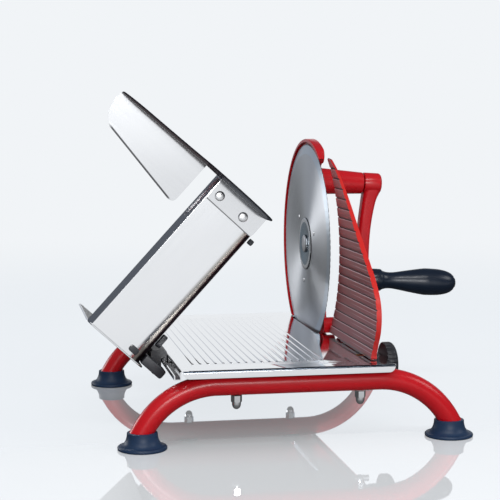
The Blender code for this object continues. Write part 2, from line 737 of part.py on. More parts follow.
def make_blade(spin):
    """Wavy-edged circular blade with a ground bevel on the carriage side and a dished hub."""
    count = WAVE_COUNT * WAVE_POINTS
    turns = [2 * pi * k / count for k in range(count)]
    edge = [BLADE_RADIUS - WAVE_DEPTH * (0.5 - 0.5 * cos(turn * WAVE_COUNT)) for turn in turns]
    rings = []
    bevel_start = BLADE_RADIUS - BEVEL_WIDTH
    for x, radii in (
        (0.0, [bevel_start] * count),
        (BLADE_THICKNESS - EDGE_THICKNESS, edge),
        (BLADE_THICKNESS, edge),
    ):
        rings.append([(x, radius * cos(turn), radius * sin(turn)) for turn, radius in zip(turns, radii)])
    blade = object_from("blade", lofted(rings), finish_blade(), spin)
    hub = HUB_DIAMETER / 2
    dish = HUB_DISH_DIAMETER / 2
    low = -HUB_RISE * 0.3
    profile = [(BLADE_THICKNESS / 2, 0), (BLADE_THICKNESS / 2, hub + 0.6 * MM)]
    profile += [(-HUB_RISE * 0.6, hub), (-HUB_RISE, hub - 0.8 * MM)]
    profile += [(-HUB_RISE, dish), (low, dish - 1.5 * MM), (low, 0)]
    cutter(turned(profile, "X", 32), blade, "UNION")
    cutter(cylinder("X", -CUT, BLADE_THICKNESS + CUT, BLADE_BORE / 2, 20), blade)
    seat = RIVET_FACE_DIAMETER / 2 + REST_GAP
    holes = [cylinder("X", -CUT, BLADE_THICKNESS + CUT, seat, 10, place) for place in blade_rivet_places()]
    cutter(joined(*holes), blade)
    return blade


def blade_rivet_places():
    """Places of the flush rivets that hold the gear to the blade."""
    turns = [radians(40) + 2 * pi * k / BLADE_RIVETS for k in range(BLADE_RIVETS)]
    return [(0, RIVET_CIRCLE / 2 * cos(turn), RIVET_CIRCLE / 2 * sin(turn)) for turn in turns]


def make_blade_drive(spin, root):
    """Ring gear on the blade's back, its axle and the parts that hold the blade on it."""
    outline = gear_outline(GEAR_TEETH, MODULE, TOOTH_THINNING, -pi / 2)
    gear_end = GEAR_START_X + GEAR_FACE
    gear = object_from("blade_gear", extruded(outline, "X", GEAR_START_X, gear_end), finish_nylon(), spin)
    boss_start = BLADE_THICKNESS + REST_GAP
    boss = cylinder("X", boss_start, GEAR_START_X + 1 * MM, GEAR_BOSS_DIAMETER / 2, 24)
    cutter(boss, gear, "UNION")
    holes = []
    for k in range(GEAR_HOLES):
        turn = radians(10) + 2 * pi * k / GEAR_HOLES
        place = (0, GEAR_HOLE_CIRCLE / 2 * cos(turn), GEAR_HOLE_CIRCLE / 2 * sin(turn))
        holes.append(cylinder("X", GEAR_START_X - CUT, gear_end + CUT, GEAR_HOLE_DIAMETER / 2, 12, place))
    cutter(joined(*holes), gear)
    seat = RIVET_DIAMETER / 2 + REST_GAP
    for place in blade_rivet_places():
        cutter(cylinder("X", GEAR_START_X - CUT, gear_end + CUT, seat, 8, place), gear)
    bore = AXLE_DIAMETER / 2 + RUNNING_GAP
    cutter(cylinder("X", 0, gear_end + CUT, bore, 20), gear)
    for number, place in enumerate(blade_rivet_places(), 1):
        make_blade_rivet(f"blade_rivet_{number}", place, gear_end, spin)
    head = 8.5 * MM
    radius = AXLE_DIAMETER / 2
    stop = HOUSING_BACK_X + 2.2 * MM
    seat_x = -HUB_RISE * 0.3 - REST_GAP
    profile = [(-HUB_RISE - 1.3 * MM, 0), (-HUB_RISE - 1.2 * MM, head * 0.6)]
    profile += [(-HUB_RISE - 0.8 * MM, head - 0.8 * MM), (-HUB_RISE - 0.3 * MM, head)]
    profile += [(seat_x, head), (seat_x, radius), (stop, radius), (stop, 0)]
    object_from("blade_axle", turned(profile, "X", 20), finish_dark_steel(), root, (0, 0, BLADE_Z))


def make_blade_rivet(name, place, gear_end, spin):
    """Rivet set flush in the blade's face, with its head behind the gear."""
    face = RIVET_FACE_DIAMETER / 2
    shank = RIVET_DIAMETER / 2
    seat = gear_end + REST_GAP
    profile = [(-0.1 * MM, 0), (-0.1 * MM, face * 0.7), (0.1 * MM, face), (BLADE_THICKNESS, face)]
    profile += [(BLADE_THICKNESS, shank), (seat, shank), (seat, shank + 1 * MM)]
    profile += [(seat + 0.8 * MM, shank + 0.6 * MM), (seat + 0.8 * MM, 0)]
    object_from(name, turned(profile, "X", 10, place), finish_blade(), spin)


def crank_frame():
    """Matrix of the crank's own axes: X along the tilted axle, origin where the axle meets the pinion."""
    return Matrix.Translation((PINION_MIDDLE_X, 0, PINION_Z)) @ Matrix.Rotation(CRANK_TILT, 4, "Y")


def pear_outline(big, small, start):
    """Outline round gear and pinion as (y, z) from the blade centre; its arc starts at an angle below."""
    side = asin((big - small) / GEAR_DISTANCE)
    points = arc((0, 0), big, start, side, 10)
    points += arc((0, GEAR_DISTANCE), small, side, pi - side, 10)
    points += arc((0, 0), big, pi - side, pi - start, 10)
    return points


def housing_outline():
    """Casting seen along the blade axis, as (y, z) from the blade centre, from its far foot round."""
    foot = -BLADE_ABOVE_PLATE + REST_GAP
    far_foot = asin(foot / HOUSING_RADIUS)
    top_near = pi / 2 + HOOK_ANGLE
    points = arc((0, 0), HOUSING_RADIUS, far_foot, top_near - 0.075, 32)
    tip = HOUSING_RADIUS - HOOK_ROUND
    hook = (tip * cos(top_near), tip * sin(top_near))
    points += arc(hook, HOOK_ROUND, top_near, top_near + pi * 0.95, 6)
    bulge = GEAR_POCKET + GEAR_BULGE_WALL
    shoulder = (-PINION_POCKET - 3 * MM, GEAR_DISTANCE + PINION_POCKET * 0.5)
    points.append(shoulder)
    points += arc((0, 0), bulge, pi * 0.68, pi * 1.18, 10)
    post = GUIDE_POST_Y
    points.append((post + 5 * MM, foot + 14 * MM))
    points.append((post + 3 * MM, foot))
    return points


def make_housing(root):
    """Red casting behind the blade: guard rim, gear bulge, crank sleeve and the guide post."""
    rim = extruded(housing_outline(), "X", HOUSING_FRONT_X, HOUSING_RIM_BACK_X)
    casting = object_from("gear_housing", rim, finish_red(), root, (0, 0, BLADE_Z))
    bevelled(casting, HOUSING_EDGE, 1, radians(50))
    blade_depth = BLADE_THICKNESS + 1.2 * MM
    bulge = GEAR_POCKET + GEAR_BULGE_WALL
    pinion = PINION_POCKET + GEAR_BULGE_WALL
    foot = -BLADE_ABOVE_PLATE + REST_GAP
    back = pear_outline(bulge, pinion, -pi * 0.35)
    back += [(-bulge * 0.62, foot), (bulge * 0.62, foot)]
    cutter(extruded(back, "X", HOUSING_RIM_BACK_X - 0.5 * MM, HOUSING_BACK_X), casting, "UNION")
    post_place = (0, GUIDE_POST_Y, -GUIDE_POST_DROP)
    post = cylinder("X", blade_depth + 0.4 * MM, GUIDE_POST_END_X, GUIDE_POST_DIAMETER / 2, 20, post_place)
    cutter(post, casting, "UNION")
    start = HOUSING_BACK_X - PINION_MIDDLE_X - 1.5 * MM
    end = SLEEVE_END_X - PINION_MIDDLE_X
    wide = SLEEVE_START_DIAMETER / 2
    slim = SLEEVE_END_DIAMETER / 2
    profile = [(start, 0), (start, wide + 3 * MM), (start + 3 * MM, wide + 0.6 * MM), (start + 6 * MM, wide)]
    profile += [(end - 1 * MM, slim), (end, slim - 0.8 * MM), (end, 0)]
    lowered = Matrix.Translation((0, 0, -BLADE_Z)) @ crank_frame()
    cutter(moved(turned(profile, "X", 24), lowered), casting, "UNION")
    lip_start = pi / 2 + HOOK_ANGLE * 0.7
    lip_end = pi / 2 + LIP_ANGLE
    lip = arc((0, 0), HOUSING_RADIUS, lip_start, lip_end, 8)
    lip += arc((0, 0), BLADE_POCKET_RADIUS - 1 * MM, lip_end - 0.03, lip_start, 8)
    cutter(extruded(lip, "X", HOUSING_FRONT_X, HOUSING_RIM_BACK_X / 2), casting, "UNION")
    cutter(cylinder("X", HOUSING_FRONT_X - CUT, blade_depth, BLADE_POCKET_RADIUS, 64), casting)
    deep = GEAR_START_X + GEAR_FACE + 1.8 * MM
    room = pear_outline(GEAR_POCKET, PINION_POCKET, -pi / 2)[:-1]
    cutter(extruded(room, "X", 0, deep), casting)
    bore = BUSH_DIAMETER / 2 + REST_GAP
    cutter(moved(cylinder("X", 0, end + CUT, bore, 20), lowered), casting)
    hole = AXLE_DIAMETER / 2 + REST_GAP
    cutter(cylinder("X", 0, HOUSING_BACK_X + CUT, hole, 20), casting)
    rod = GUIDE_ROD_DIAMETER / 2 + REST_GAP
    cutter(cylinder("X", BLADE_THICKNESS + 4 * MM, GUIDE_POST_END_X + CUT, rod, 20, post_place), casting)
    thread = HOUSING_SCREW_DIAMETER / 2 + REST_GAP
    for x, y, z in housing_screw_places():
        hole = cylinder("Z", foot - CUT, foot + HOUSING_SCREW_LENGTH + 1 * MM, thread, 12, (x, y, z))
        cutter(hole, casting)
    return casting


def housing_screw_places():
    """Where the screws come up through the plate into the casting's foot, behind the blade's pocket."""
    x = (BLADE_THICKNESS + 2.0 * MM + HOUSING_BACK_X) / 2
    return [(x, -HOUSING_SCREW_Y, 0), (x, HOUSING_SCREW_Y, 0)]


def make_housing_screws(root):
    """Pan-head screws from below the plate into the casting's foot."""
    head_top = PLATE_UNDER - REST_GAP
    head = HOUSING_SCREW_HEAD / 2
    shank = HOUSING_SCREW_DIAMETER / 2
    tip = PLATE_TOP + HOUSING_SCREW_LENGTH
    profile = [(head_top - 2.4 * MM, 0), (head_top - 2.4 * MM, head - 1 * MM), (head_top - 1.4 * MM, head)]
    profile += [(head_top, head), (head_top, shank), (tip - 0.6 * MM, shank)]
    profile += [(tip, shank - 0.6 * MM), (tip, 0)]
    for number, place in enumerate(housing_screw_places(), 1):
        object_from(f"housing_screw_{number}", turned(profile, "Z", 10, place), finish_chrome(), root)


def make_crank_drive(turning, root):
    """Pinion, crank axle and the two bushes it runs in, along the tilted axis."""
    phase = -pi / 2
    outline = gear_outline(PINION_TEETH, MODULE, TOOTH_THINNING, phase)
    half = GEAR_FACE / 2
    cone = tan(CRANK_TILT) * half / PINION_RADIUS
    near = [(-half, a * (1 + cone), b * (1 + cone)) for a, b in outline]
    far = [(half, a * (1 - cone), b * (1 - cone)) for a, b in outline]
    pinion = object_from("pinion", lofted([near, far]), finish_dark_steel(), turning)
    bore = AXLE_DIAMETER / 2 + REST_GAP
    cutter(cylinder("X", -half - CUT, half + CUT, bore, 20), pinion)
    radius = AXLE_DIAMETER / 2
    end = hub_start() + CRANK_HUB_LENGTH - 3 * MM
    object_from("crank_axle", cylinder("X", -half, end, radius, 20), finish_dark_steel(), turning)
    outer = BUSH_DIAMETER / 2
    inner = AXLE_DIAMETER / 2 + REST_GAP
    sleeve_end = SLEEVE_END_X - PINION_MIDDLE_X
    inner_start = HOUSING_BACK_X - PINION_MIDDLE_X - 2 * MM
    for name, start, finish in (
        ("inner_bush", inner_start, inner_start + BUSH_LENGTH),
        ("outer_bush", sleeve_end - BUSH_LENGTH, sleeve_end),
    ):
        ring = turned([(start, inner), (start, outer), (finish, outer), (finish, inner)], "X", 18)
        object_from(name, moved(ring, crank_frame()), finish_bronze(), root)


def hub_start():
    """Distance of the crank hub from the pinion, along the axle."""
    return SLEEVE_END_X - PINION_MIDDLE_X + 1.2 * MM


def make_crank(turning, grip_spin):
    """Gooseneck arm with its hub and eye, the spindle and the turned handle."""
    start = hub_start()
    middle = start + CRANK_HUB_LENGTH / 2
    low = middle - CRANK_ARM_SET_IN
    eye_x = middle - CRANK_EYE_SET_IN
    thick = CRANK_ARM_THICKNESS
    wide = CRANK_ARM_WIDTH
    reach = CRANK_RADIUS
    stations = [
        (middle, -0.022 * reach, 1.43 * thick, 1.31 * wide),
        (middle, 0.065 * reach, 1.39 * thick, 1.31 * wide),
        (middle - 2.4 * MM, 0.183 * reach, 1.13 * thick, 1.15 * wide),
        (low + 0.6 * MM, 0.398 * reach, thick, 1.08 * wide),
        (low, 0.613 * reach, thick, wide),
        (low + 0.8 * MM, 0.817 * reach, thick, wide),
        (eye_x, reach + 2 * MM, 0.95 * thick, 1.15 * wide),
    ]
    line = smooth_line(stations, 2)
    sections = []
    for x, drop, deep, across in line:
        ring = rounded_box(-deep / 2, deep / 2, -across / 2, across / 2, min(deep, across) * 0.28, 2)
        sections.append([(x + a, b, -drop) for a, b in ring])
    arm = object_from("crank_arm", lofted(sections), finish_red(), turning)
    hub = CRANK_HUB_DIAMETER / 2
    end = start + CRANK_HUB_LENGTH
    profile = [(start, 0), (start, hub - 0.6 * MM), (start + 0.6 * MM, hub), (end - 3 * MM, hub)]
    profile += [(end - 0.9 * MM, hub - 1.2 * MM), (end, hub - 3.4 * MM), (end, 0)]
    cutter(turned(profile, "X", 24), arm, "UNION")
    eye = CRANK_EYE_DIAMETER / 2
    x0 = eye_x - CRANK_ARM_THICKNESS / 2
    x1 = eye_x + CRANK_ARM_THICKNESS / 2
    below = (0, 0, -CRANK_RADIUS)
    head = SPINDLE_HEAD_DIAMETER / 2
    rise = SPINDLE_HEAD_HEIGHT
    cutter(cylinder("X", x0 - 2 * CUT, x0 + 1 * MM, head + REST_GAP, 20, below), arm)
    profile = [(x0, 0), (x0, eye - 1.2 * MM), (x0 + 1.2 * MM, eye)]
    profile += [(x1 - 1.2 * MM, eye), (x1, eye - 1.2 * MM), (x1, 0)]
    cutter(turned(profile, "X", 24, below), arm, "UNION")
    bore = AXLE_DIAMETER / 2 + REST_GAP
    cutter(cylinder("X", start - CUT, end - 2.6 * MM, bore, 20), arm)
    spindle_bore = SPINDLE_DIAMETER / 2 + REST_GAP
    cutter(cylinder("X", x0 - CUT, x1 + CUT, spindle_bore, 16, below), arm)
    grip_start = x1 + 2.0 * MM
    grip_end = grip_start + HANDLE_LENGTH
    radius = SPINDLE_DIAMETER / 2
    seat = x0 - REST_GAP
    cap = grip_end + REST_GAP
    profile = [(x0 - rise, 0), (x0 - rise, head - 0.5 * MM), (seat, head), (seat, radius), (cap, radius)]
    profile += [(cap, head), (cap + rise * 0.45, head), (cap + rise * 0.85, head * 0.6), (cap + rise, 0)]
    object_from("handle_spindle", turned(profile, "X", 16, below), finish_chrome(), turning)
    rim = CRANK_EYE_DIAMETER / 2 - 1 * MM
    near = x1 + REST_GAP
    far = grip_start - REST_GAP
    washer = turned([(near, spindle_bore), (near, rim), (far, rim), (far, spindle_bore)], "X", 20, below)
    object_from("handle_washer", washer, finish_steel(), turning)
    make_handle(grip_spin, grip_start)


def make_handle(grip_spin, start):
    """Turned black handle with collar, neck and belly; the origin is on its spindle."""
    collar = HANDLE_COLLAR_DIAMETER / 2
    neck = HANDLE_NECK_DIAMETER / 2
    belly = HANDLE_BELLY_DIAMETER / 2
    length = HANDLE_LENGTH
    bore = SPINDLE_DIAMETER / 2 + RUNNING_GAP
    stations = [(0.125, collar - 1.2 * MM), (0.15, neck + 0.8 * MM), (0.2, neck), (0.28, neck + 0.3 * MM)]
    stations += [(0.45, belly - 2.4 * MM), (0.62, belly - 0.2 * MM), (0.7, belly), (0.8, belly - 0.5 * MM)]
    stations += [(0.9, belly - 2.6 * MM), (0.97, belly - 6.4 * MM)]
    line = smooth_line(stations, 2)
    profile = [(start, bore), (start, collar - 1 * MM), (start + 1 * MM, collar)]
    profile += [(start + length * 0.1, collar)]
    profile += [(start + length * share, radius) for share, radius in line]
    profile += [(start + length, belly - 8.4 * MM), (start + length, bore)]
    finish = material("black_handle", BLACK, 0.18, 0.0)
    object_from("handle_grip", turned(profile, "X", 18), finish, grip_spin)


def stop_near_edge():
    """The stop plate's near edge as (y, z from the blade centre), from the tip down to the bottom."""
    bottom = -BLADE_ABOVE_PLATE + STOP_BOTTOM_GAP
    rise = STOP_TIP_HEIGHT - 1.0 * MM - bottom
    return smooth_line([(-STOP_REACH * out, bottom + rise * up) for out, up in STOP_EDGE], 3)


def stop_outline(inset=0.0):
    """Sail-shaped outline in the plate's own plane, from the tip down the blade side and back up."""
    bottom = -BLADE_ABOVE_PLATE + STOP_BOTTOM_GAP
    low = pi + asin(-bottom / STOP_ARC_RADIUS)
    high = pi - asin((STOP_TIP_HEIGHT - 4 * inset) / STOP_ARC_RADIUS)
    far = arc((0, 0), STOP_ARC_RADIUS + inset, high, low, 20)
    near = []
    line = stop_near_edge()
    for before, here, after in zip(line, line[1:], line[2:]):
        along = (Vector(after) - Vector(before)).normalized()
        near.append((here[0] - along.y * inset, here[1] + along.x * inset))
    ceiling = far[0][1] - 2 * inset
    near = [spot for spot in near if spot[1] < ceiling or not inset]
    far = [spot for spot in far if spot[1] > bottom + inset]
    near = [spot for spot in near if spot[1] > bottom + inset]
    corners = [(far[-1][0], bottom + inset), (near[-1][0], bottom + inset)]
    tip = [] if inset else [line[0]]
    return far + corners + list(reversed(near)) + tip


def stop_frame():
    """Matrix of the stop plate: its face plane turned by the toe about a vertical line."""
    pivot = Matrix.Translation((SLICE_AT_REST, STOP_PIVOT_Y, BLADE_Z))
    return pivot @ Matrix.Rotation(STOP_TOE, 4, "Z") @ Matrix.Translation((0, -STOP_PIVOT_Y, 0))


def stop_tab_x():
    """Left face of the tab that reaches through the plate to the follower."""
    return SLICE_AT_REST + (STOP_PIVOT_Y - KNOB_Y) * tan(STOP_TOE) + 0.9 * MM


def make_stop_plate(slide):
    """Ribbed stop plate: a comb-profiled face cut to the sail outline, hollow behind, with its tab."""
    outline = stop_outline()
    height = STOP_TIP_HEIGHT + STOP_RIB_PITCH
    comb = []
    z = -BLADE_ABOVE_PLATE + STOP_BOTTOM_GAP - STOP_RIB_PITCH
    while z < height:
        comb += [(0.0, z), (0.0, z + STOP_RIB_PITCH * 0.62)]
        comb += [(STOP_RIB_DEPTH, z + STOP_RIB_PITCH * 0.74), (STOP_RIB_DEPTH, z + STOP_RIB_PITCH * 0.88)]
        z += STOP_RIB_PITCH
    comb.append((0.0, z))
    comb += [(STOP_THICKNESS, z), (STOP_THICKNESS, comb[0][1])]
    comb.reverse()
    ys = [point[0] for point in outline]
    bar = extruded(comb, "Y", min(ys) - CUT, max(ys) + CUT)
    plate = object_from("stop_plate", moved(bar, stop_frame()), finish_red(), slide)
    sail = extruded(outline, "X", -CUT, STOP_THICKNESS + CUT)
    cutter(moved(sail, stop_frame()), plate, "INTERSECT")
    hollow = extruded(stop_outline(STOP_RIM), "X", STOP_SKIN, STOP_THICKNESS + 2 * CUT)
    cutter(moved(hollow, stop_frame()), plate)
    x0 = stop_tab_x()
    low = SCREW_Z - 3 * MM
    top = PLATE_TOP + STOP_BOTTOM_GAP + STOP_TAB_HEIGHT
    tab = box_outline(KNOB_Y - STOP_TAB_WIDTH / 2, KNOB_Y + STOP_TAB_WIDTH / 2, low, top)
    cutter(extruded(tab, "X", x0, x0 + STOP_TAB_THICKNESS), plate, "UNION")
    screw_hole = SCREW_DIAMETER / 2 + RUNNING_GAP
    hole = cylinder("X", x0 - CUT, x0 + STOP_TAB_THICKNESS + CUT, screw_hole, 20, (0, KNOB_Y, SCREW_Z))
    cutter(hole, plate)
    return plate


def make_stop_guides(slide, root, knob_spin):
    """Follower on the setting screw, the slide arm on its rod, the bracket, screw and knob."""
    x0 = stop_tab_x()
    back = x0 - REST_GAP
    front = back - FOLLOWER_LENGTH
    half = 8 * MM
    low = SCREW_Z - 7 * MM
    high = PLATE_UNDER - RUNNING_GAP
    block = extruded(rounded_box(KNOB_Y - half, KNOB_Y + half, low, high, 1.5 * MM), "X", front, back)
    follower = object_from("follower_nut", block, finish_bronze(), slide)
    bore = SCREW_DIAMETER / 2 + RUNNING_GAP
    cutter(cylinder("X", front - CUT, back + CUT, bore, 20, (0, KNOB_Y, SCREW_Z)), follower)
    plate_back = SLICE_AT_REST + STOP_THICKNESS / cos(STOP_TOE) + REST_GAP
    arm_far = GUIDE_POST_Y + GUIDE_ROD_DIAMETER / 2 + 3.5 * MM
    arm_end = SLICE_AT_REST + SLIDE_ARM_REACH
    arm_start = arm_end - SLIDE_ARM_LENGTH
    far_y = STOP_PIVOT_Y + SLIDE_ARM_LENGTH
    near_y = far_y - SLIDE_ARM_PALM
    near_x = plate_back + (STOP_PIVOT_Y - near_y) * tan(STOP_TOE)
    far_x = plate_back + (STOP_PIVOT_Y - far_y) * tan(STOP_TOE)
    thick = SLIDE_ARM_THICKNESS
    plan = [(near_x, near_y), (near_x + thick, near_y), (plate_back + thick * 1.5, STOP_PIVOT_Y)]
    plan += [(arm_end, far_y + thick / 2), (arm_end, arm_far), (arm_start, arm_far)]
    plan += [(arm_start, far_y + thick * 1.25), (plate_back + thick * 1.15, far_y), (far_x, far_y)]
    z0 = PLATE_TOP + 1.6 * MM
    arm = object_from("slide_arm", extruded(plan, "Z", z0, z0 + SLIDE_ARM_HEIGHT), finish_red(), slide)
    bevelled(arm, 0.8 * MM, 1)
    rod = GUIDE_ROD_DIAMETER / 2
    z = PLATE_TOP + GUIDE_POST_HEIGHT
    hole = rod + RUNNING_GAP
    place = (0, GUIDE_POST_Y, z)
    cutter(cylinder("X", arm_start - CUT, arm_end + CUT, hole, 20, place), arm)
    start = BLADE_THICKNESS + 4 * MM + REST_GAP
    object_from("guide_rod", cylinder("X", start, GUIDE_ROD_END_X, rod, 20, place), finish_steel(), root)
    make_setting(root, knob_spin)


def make_setting(root, knob_spin):
    """Setting screw with its collar, the bracket at its inner end and the ridged knob."""
    radius = SCREW_DIAMETER / 2
    knob_start = PLATE_RIGHT_X + 1.0 * MM
    knob_end = knob_start + KNOB_LENGTH
    seat = knob_start + 6 * MM
    profile = [(SCREW_INNER_X, 0), (SCREW_INNER_X, radius - 1.2 * MM)]
    profile += [(SCREW_INNER_X + 4 * MM, radius - 1.2 * MM)]
    profile += [(SCREW_INNER_X + 4 * MM, radius), (seat, radius), (seat, 0)]
    object_from("setting_screw", turned(profile, "X", 20), finish_dark_steel(), knob_spin)
    rim = KNOB_DIAMETER / 2
    count = KNOB_RIDGES * 2
    stations = [(knob_start, -0.8 * MM), (knob_start + 0.8 * MM, 0), (knob_end - 4.5 * MM, 0)]
    stations += [(knob_end - 2.2 * MM, -1.3 * MM), (knob_end - 0.6 * MM, -3.6 * MM), (knob_end, -7 * MM)]
    rings = []
    for step, (x, change) in enumerate(stations):
        ring = []
        for k in range(count):
            turn = 2 * pi * k / count
            dip = KNOB_RIDGE_DEPTH if k % 2 and step < 4 else 0
            reach = rim + change - dip
            ring.append((x, reach * cos(turn), reach * sin(turn)))
        rings.append(ring)
    knob = object_from("thickness_knob", lofted(rings), finish_black(), knob_spin)
    bore = radius + REST_GAP
    cutter(cylinder("X", knob_start - CUT, seat + REST_GAP, bore, 20), knob)
    plate_x = SCREW_INNER_X + 1 * MM
    thick = 2.4 * MM
    wide = 9 * MM
    top = PLATE_UNDER - REST_GAP
    outline = [(KNOB_Y + wide, top), (KNOB_Y - wide, top)] + arc((KNOB_Y, SCREW_Z), wide * 0.8, pi, 2 * pi, 8)
    upright = extruded(outline, "X", plate_x, plate_x + thick)
    bracket = object_from("screw_bracket", upright, finish_steel(), root)
    foot = box_outline(plate_x - 8 * MM, plate_x + thick, KNOB_Y - wide, KNOB_Y + wide)
    cutter(extruded(foot, "Z", top - 1.6 * MM, top), bracket, "UNION")
    inner = radius - 1.2 * MM + RUNNING_GAP
    cutter(cylinder("X", plate_x - CUT, plate_x + thick + CUT, inner, 20, (0, KNOB_Y, SCREW_Z)), bracket)


def tray_section():
    """Bent sheet of floor, bend, wall and sloping top band, as (y, z) in the hinge's closed pose."""
    wall = TRAY_WALL_Y
    under = FLOOR_UNDER
    outer = TRAY_BEND
    inner = TRAY_BEND - TRAY_SHEET
    top = under + TRAY_HEIGHT
    band = TRAY_BAND
    step = TRAY_SHEET * cos(pi / 4)
    outside = [(wall + TRAY_DEPTH, under)]
    outside += list(reversed(arc((wall + outer, under + outer), outer, pi, 3 * pi / 2, 6)))
    outside += [(wall, top - band), (wall + band, top)]
    inside = [(wall + band + step, top - step), (wall + TRAY_SHEET, top - band - step * 0.6)]
    inside += arc((wall + outer, under + outer), inner, pi, 3 * pi / 2, 6)
    inside += [(wall + TRAY_DEPTH, under + TRAY_SHEET)]
    return outside + inside


def make_tray(tilt):
    """Stainless tray: bent sheet with its end plate."""
    place = Matrix.Translation((-HINGE_X, 0, -HINGE_Z))
    folded = extruded(tray_section(), "X", TRAY_LEFT_X, TRAY_RIGHT_X)
    tray = object_from("carriage_tray", moved(folded, place), finish_steel(), tilt)
    wall = TRAY_WALL_Y
    top = FLOOR_UNDER + TRAY_HEIGHT
    low = FLOOR_UNDER - TRAY_END_DROP
    outline = rounded_box(wall - 0.3 * MM, wall + TRAY_DEPTH, low, top, TRAY_END_CORNER, 4)
    end = extruded(outline, "X", TRAY_LEFT_X - TRAY_SHEET, TRAY_LEFT_X + 0.2 * MM)
    cutter(moved(end, place), tray, "UNION")
    spots = [(TRAY_RIGHT_X - RIVET_INSET, FLOOR_UNDER + height, RIVET_SHANK) for height in RIVET_HEIGHTS]
    spots.append((*make_wall_clip(tilt, place), CLIP_SHANK))
    holes = []
    for x, z, size in spots:
        holes.append(cylinder("Y", wall - CUT, wall + TRAY_SHEET + CUT, size / 2 + REST_GAP, 12, (x, 0, z)))
    cutter(moved(joined(*holes), place), tray)
    return tray


def strip_outline():
    """Side panel of the guard beside the blade, as (y, height over the floor)."""
    wall = TRAY_WALL_Y - REST_GAP
    base = wall - GUARD_DEPTH
    top = GUARD_FIN_TOP
    near = smooth_line(
        [
            (wall - 17 * MM, 2.8 * MM), (wall - 33 * MM, 4 * MM), (base + 4.5 * MM, 10 * MM), (base, 27 * MM),
            (base - 0.25 * GUARD_BULGE, 0.37 * top), (base - 0.8 * GUARD_BULGE, 0.617 * top),
            (base - GUARD_BULGE, 0.79 * top), (base - 0.7 * GUARD_BULGE, 0.87 * top),
            (base, top - 11.5 * MM), (base + 11 * MM, top - 5 * MM), (base + 24 * MM, top - 0.6 * MM),
        ],
        2,
    )
    return [(wall, 2 * MM)] + near + [(wall, top)]


def fin_outline(right):
    """Fin above the wall, as (x, height over the floor), with its round top corner."""
    top = GUARD_FIN_TOP
    left = right - GUARD_FIN_WIDTH
    lean = (top - GUARD_FIN_START) * GUARD_LEAN
    wide = GUARD_FIN_WIDTH
    points = [(right, GUARD_FIN_START), (right - lean, top - 0.4 * MM), (left + 0.815 * wide, top + 0.6 * MM)]
    points += [(left + 0.7 * wide, top + 0.6 * MM), (left + 0.58 * wide, top - 0.7 * MM)]
    points += [(left + 0.476 * wide, top - 2.8 * MM), (left + 0.373 * wide, top - 6.1 * MM)]
    points += [(left + 0.295 * wide, top - 11 * MM), (left, GUARD_FIN_START)]
    return rounded_corners(points, [0, 0, 0, 0, 0, 0, 0, 0, GUARD_CORNER])


def make_finger_guard(tilt):
    """One bent sheet: riveted tab, tall panel beside the blade and the fin above the wall."""
    place = Matrix.Translation((-HINGE_X, 0, -HINGE_Z))
    wall_face = TRAY_WALL_Y - REST_GAP
    sheet_face = wall_face - GUARD_SHEET
    base = FLOOR_UNDER
    panel = extruded([(y, base + h) for y, h in strip_outline()], "X", GUARD_X, GUARD_X + GUARD_SHEET)
    fold = base + GUARD_FIN_START
    whole = panel.verts[:] + panel.edges[:] + panel.faces[:]
    bmesh.ops.bisect_plane(panel, geom=whole, plane_co=(0, 0, fold), plane_no=(0, 0, 1))
    for vertex in panel.verts:
        vertex.co.x -= max(0.0, vertex.co.z - fold) * GUARD_LEAN
    guard = object_from("finger_guard", moved(panel, place), finish_steel(), tilt)
    right = GUARD_X + GUARD_SHEET * 0.7
    left = GUARD_X - GUARD_TAB_WIDTH
    tab = rounded_corners(
        box_outline(left, right, base + 1.5 * MM, base + GUARD_TAB_HEIGHT), [4 * MM, 0, 0, 0]
    )
    cutter(moved(extruded(tab, "Y", sheet_face, wall_face), place), guard, "UNION")
    fin = [(x, base + h) for x, h in fin_outline(right)]
    cutter(moved(extruded(fin, "Y", sheet_face, wall_face), place), guard, "UNION")
    holes = []
    for height in RIVET_HEIGHTS:
        spot = (TRAY_RIGHT_X - RIVET_INSET, 0, base + height)
        holes.append(cylinder("Y", sheet_face - CUT, wall_face + CUT, RIVET_SHANK / 2 + REST_GAP, 12, spot))
    cutter(moved(joined(*holes), place), guard)
    for number, height in enumerate(RIVET_HEIGHTS, 1):
        make_rivet(f"guard_rivet_{number}", height, sheet_face, place, tilt)
    return guard


def make_rivet(name, height, face, place, tilt):
    """Dome-headed rivet through the guard's tab and the tray wall."""
    head = RIVET_HEAD / 2
    shank = RIVET_SHANK / 2
    inner = TRAY_WALL_Y + TRAY_SHEET + REST_GAP
    start = face - REST_GAP
    profile = [(start - 2 * MM, 0), (start - 1.8 * MM, head * 0.5), (start - 1.1 * MM, head * 0.85)]
    profile += [(start, head), (start, shank), (inner, shank), (inner, shank + 1.2 * MM)]
    profile += [(inner + 1.2 * MM, shank + 0.8 * MM), (inner + 1.2 * MM, 0)]
    shape = turned(profile, "Y", 14, (TRAY_RIGHT_X - RIVET_INSET, 0, FLOOR_UNDER + height))
    object_from(name, moved(shape, place), finish_steel(), tilt)


def make_wall_clip(tilt, place):
    """Black plastic stop pressed into the wall by the end plate."""
    face = TRAY_WALL_Y - REST_GAP
    x = TRAY_LEFT_X + 6.4 * MM
    z = FLOOR_UNDER + 12 * MM
    outline = rounded_box(x - 2.8 * MM, x + 2.8 * MM, z - 4.2 * MM, z + 4.2 * MM, 1.8 * MM)
    head = moved(extruded(outline, "Y", face - 2 * MM, face), place)
    clip = object_from("wall_clip", head, finish_black(), tilt)
    shank = cylinder("Y", face - 1 * MM, TRAY_WALL_Y + TRAY_SHEET + 1.5 * MM, CLIP_SHANK / 2, 12, (x, 0, z))
    cutter(moved(shank, place), clip, "UNION")
    return x, z


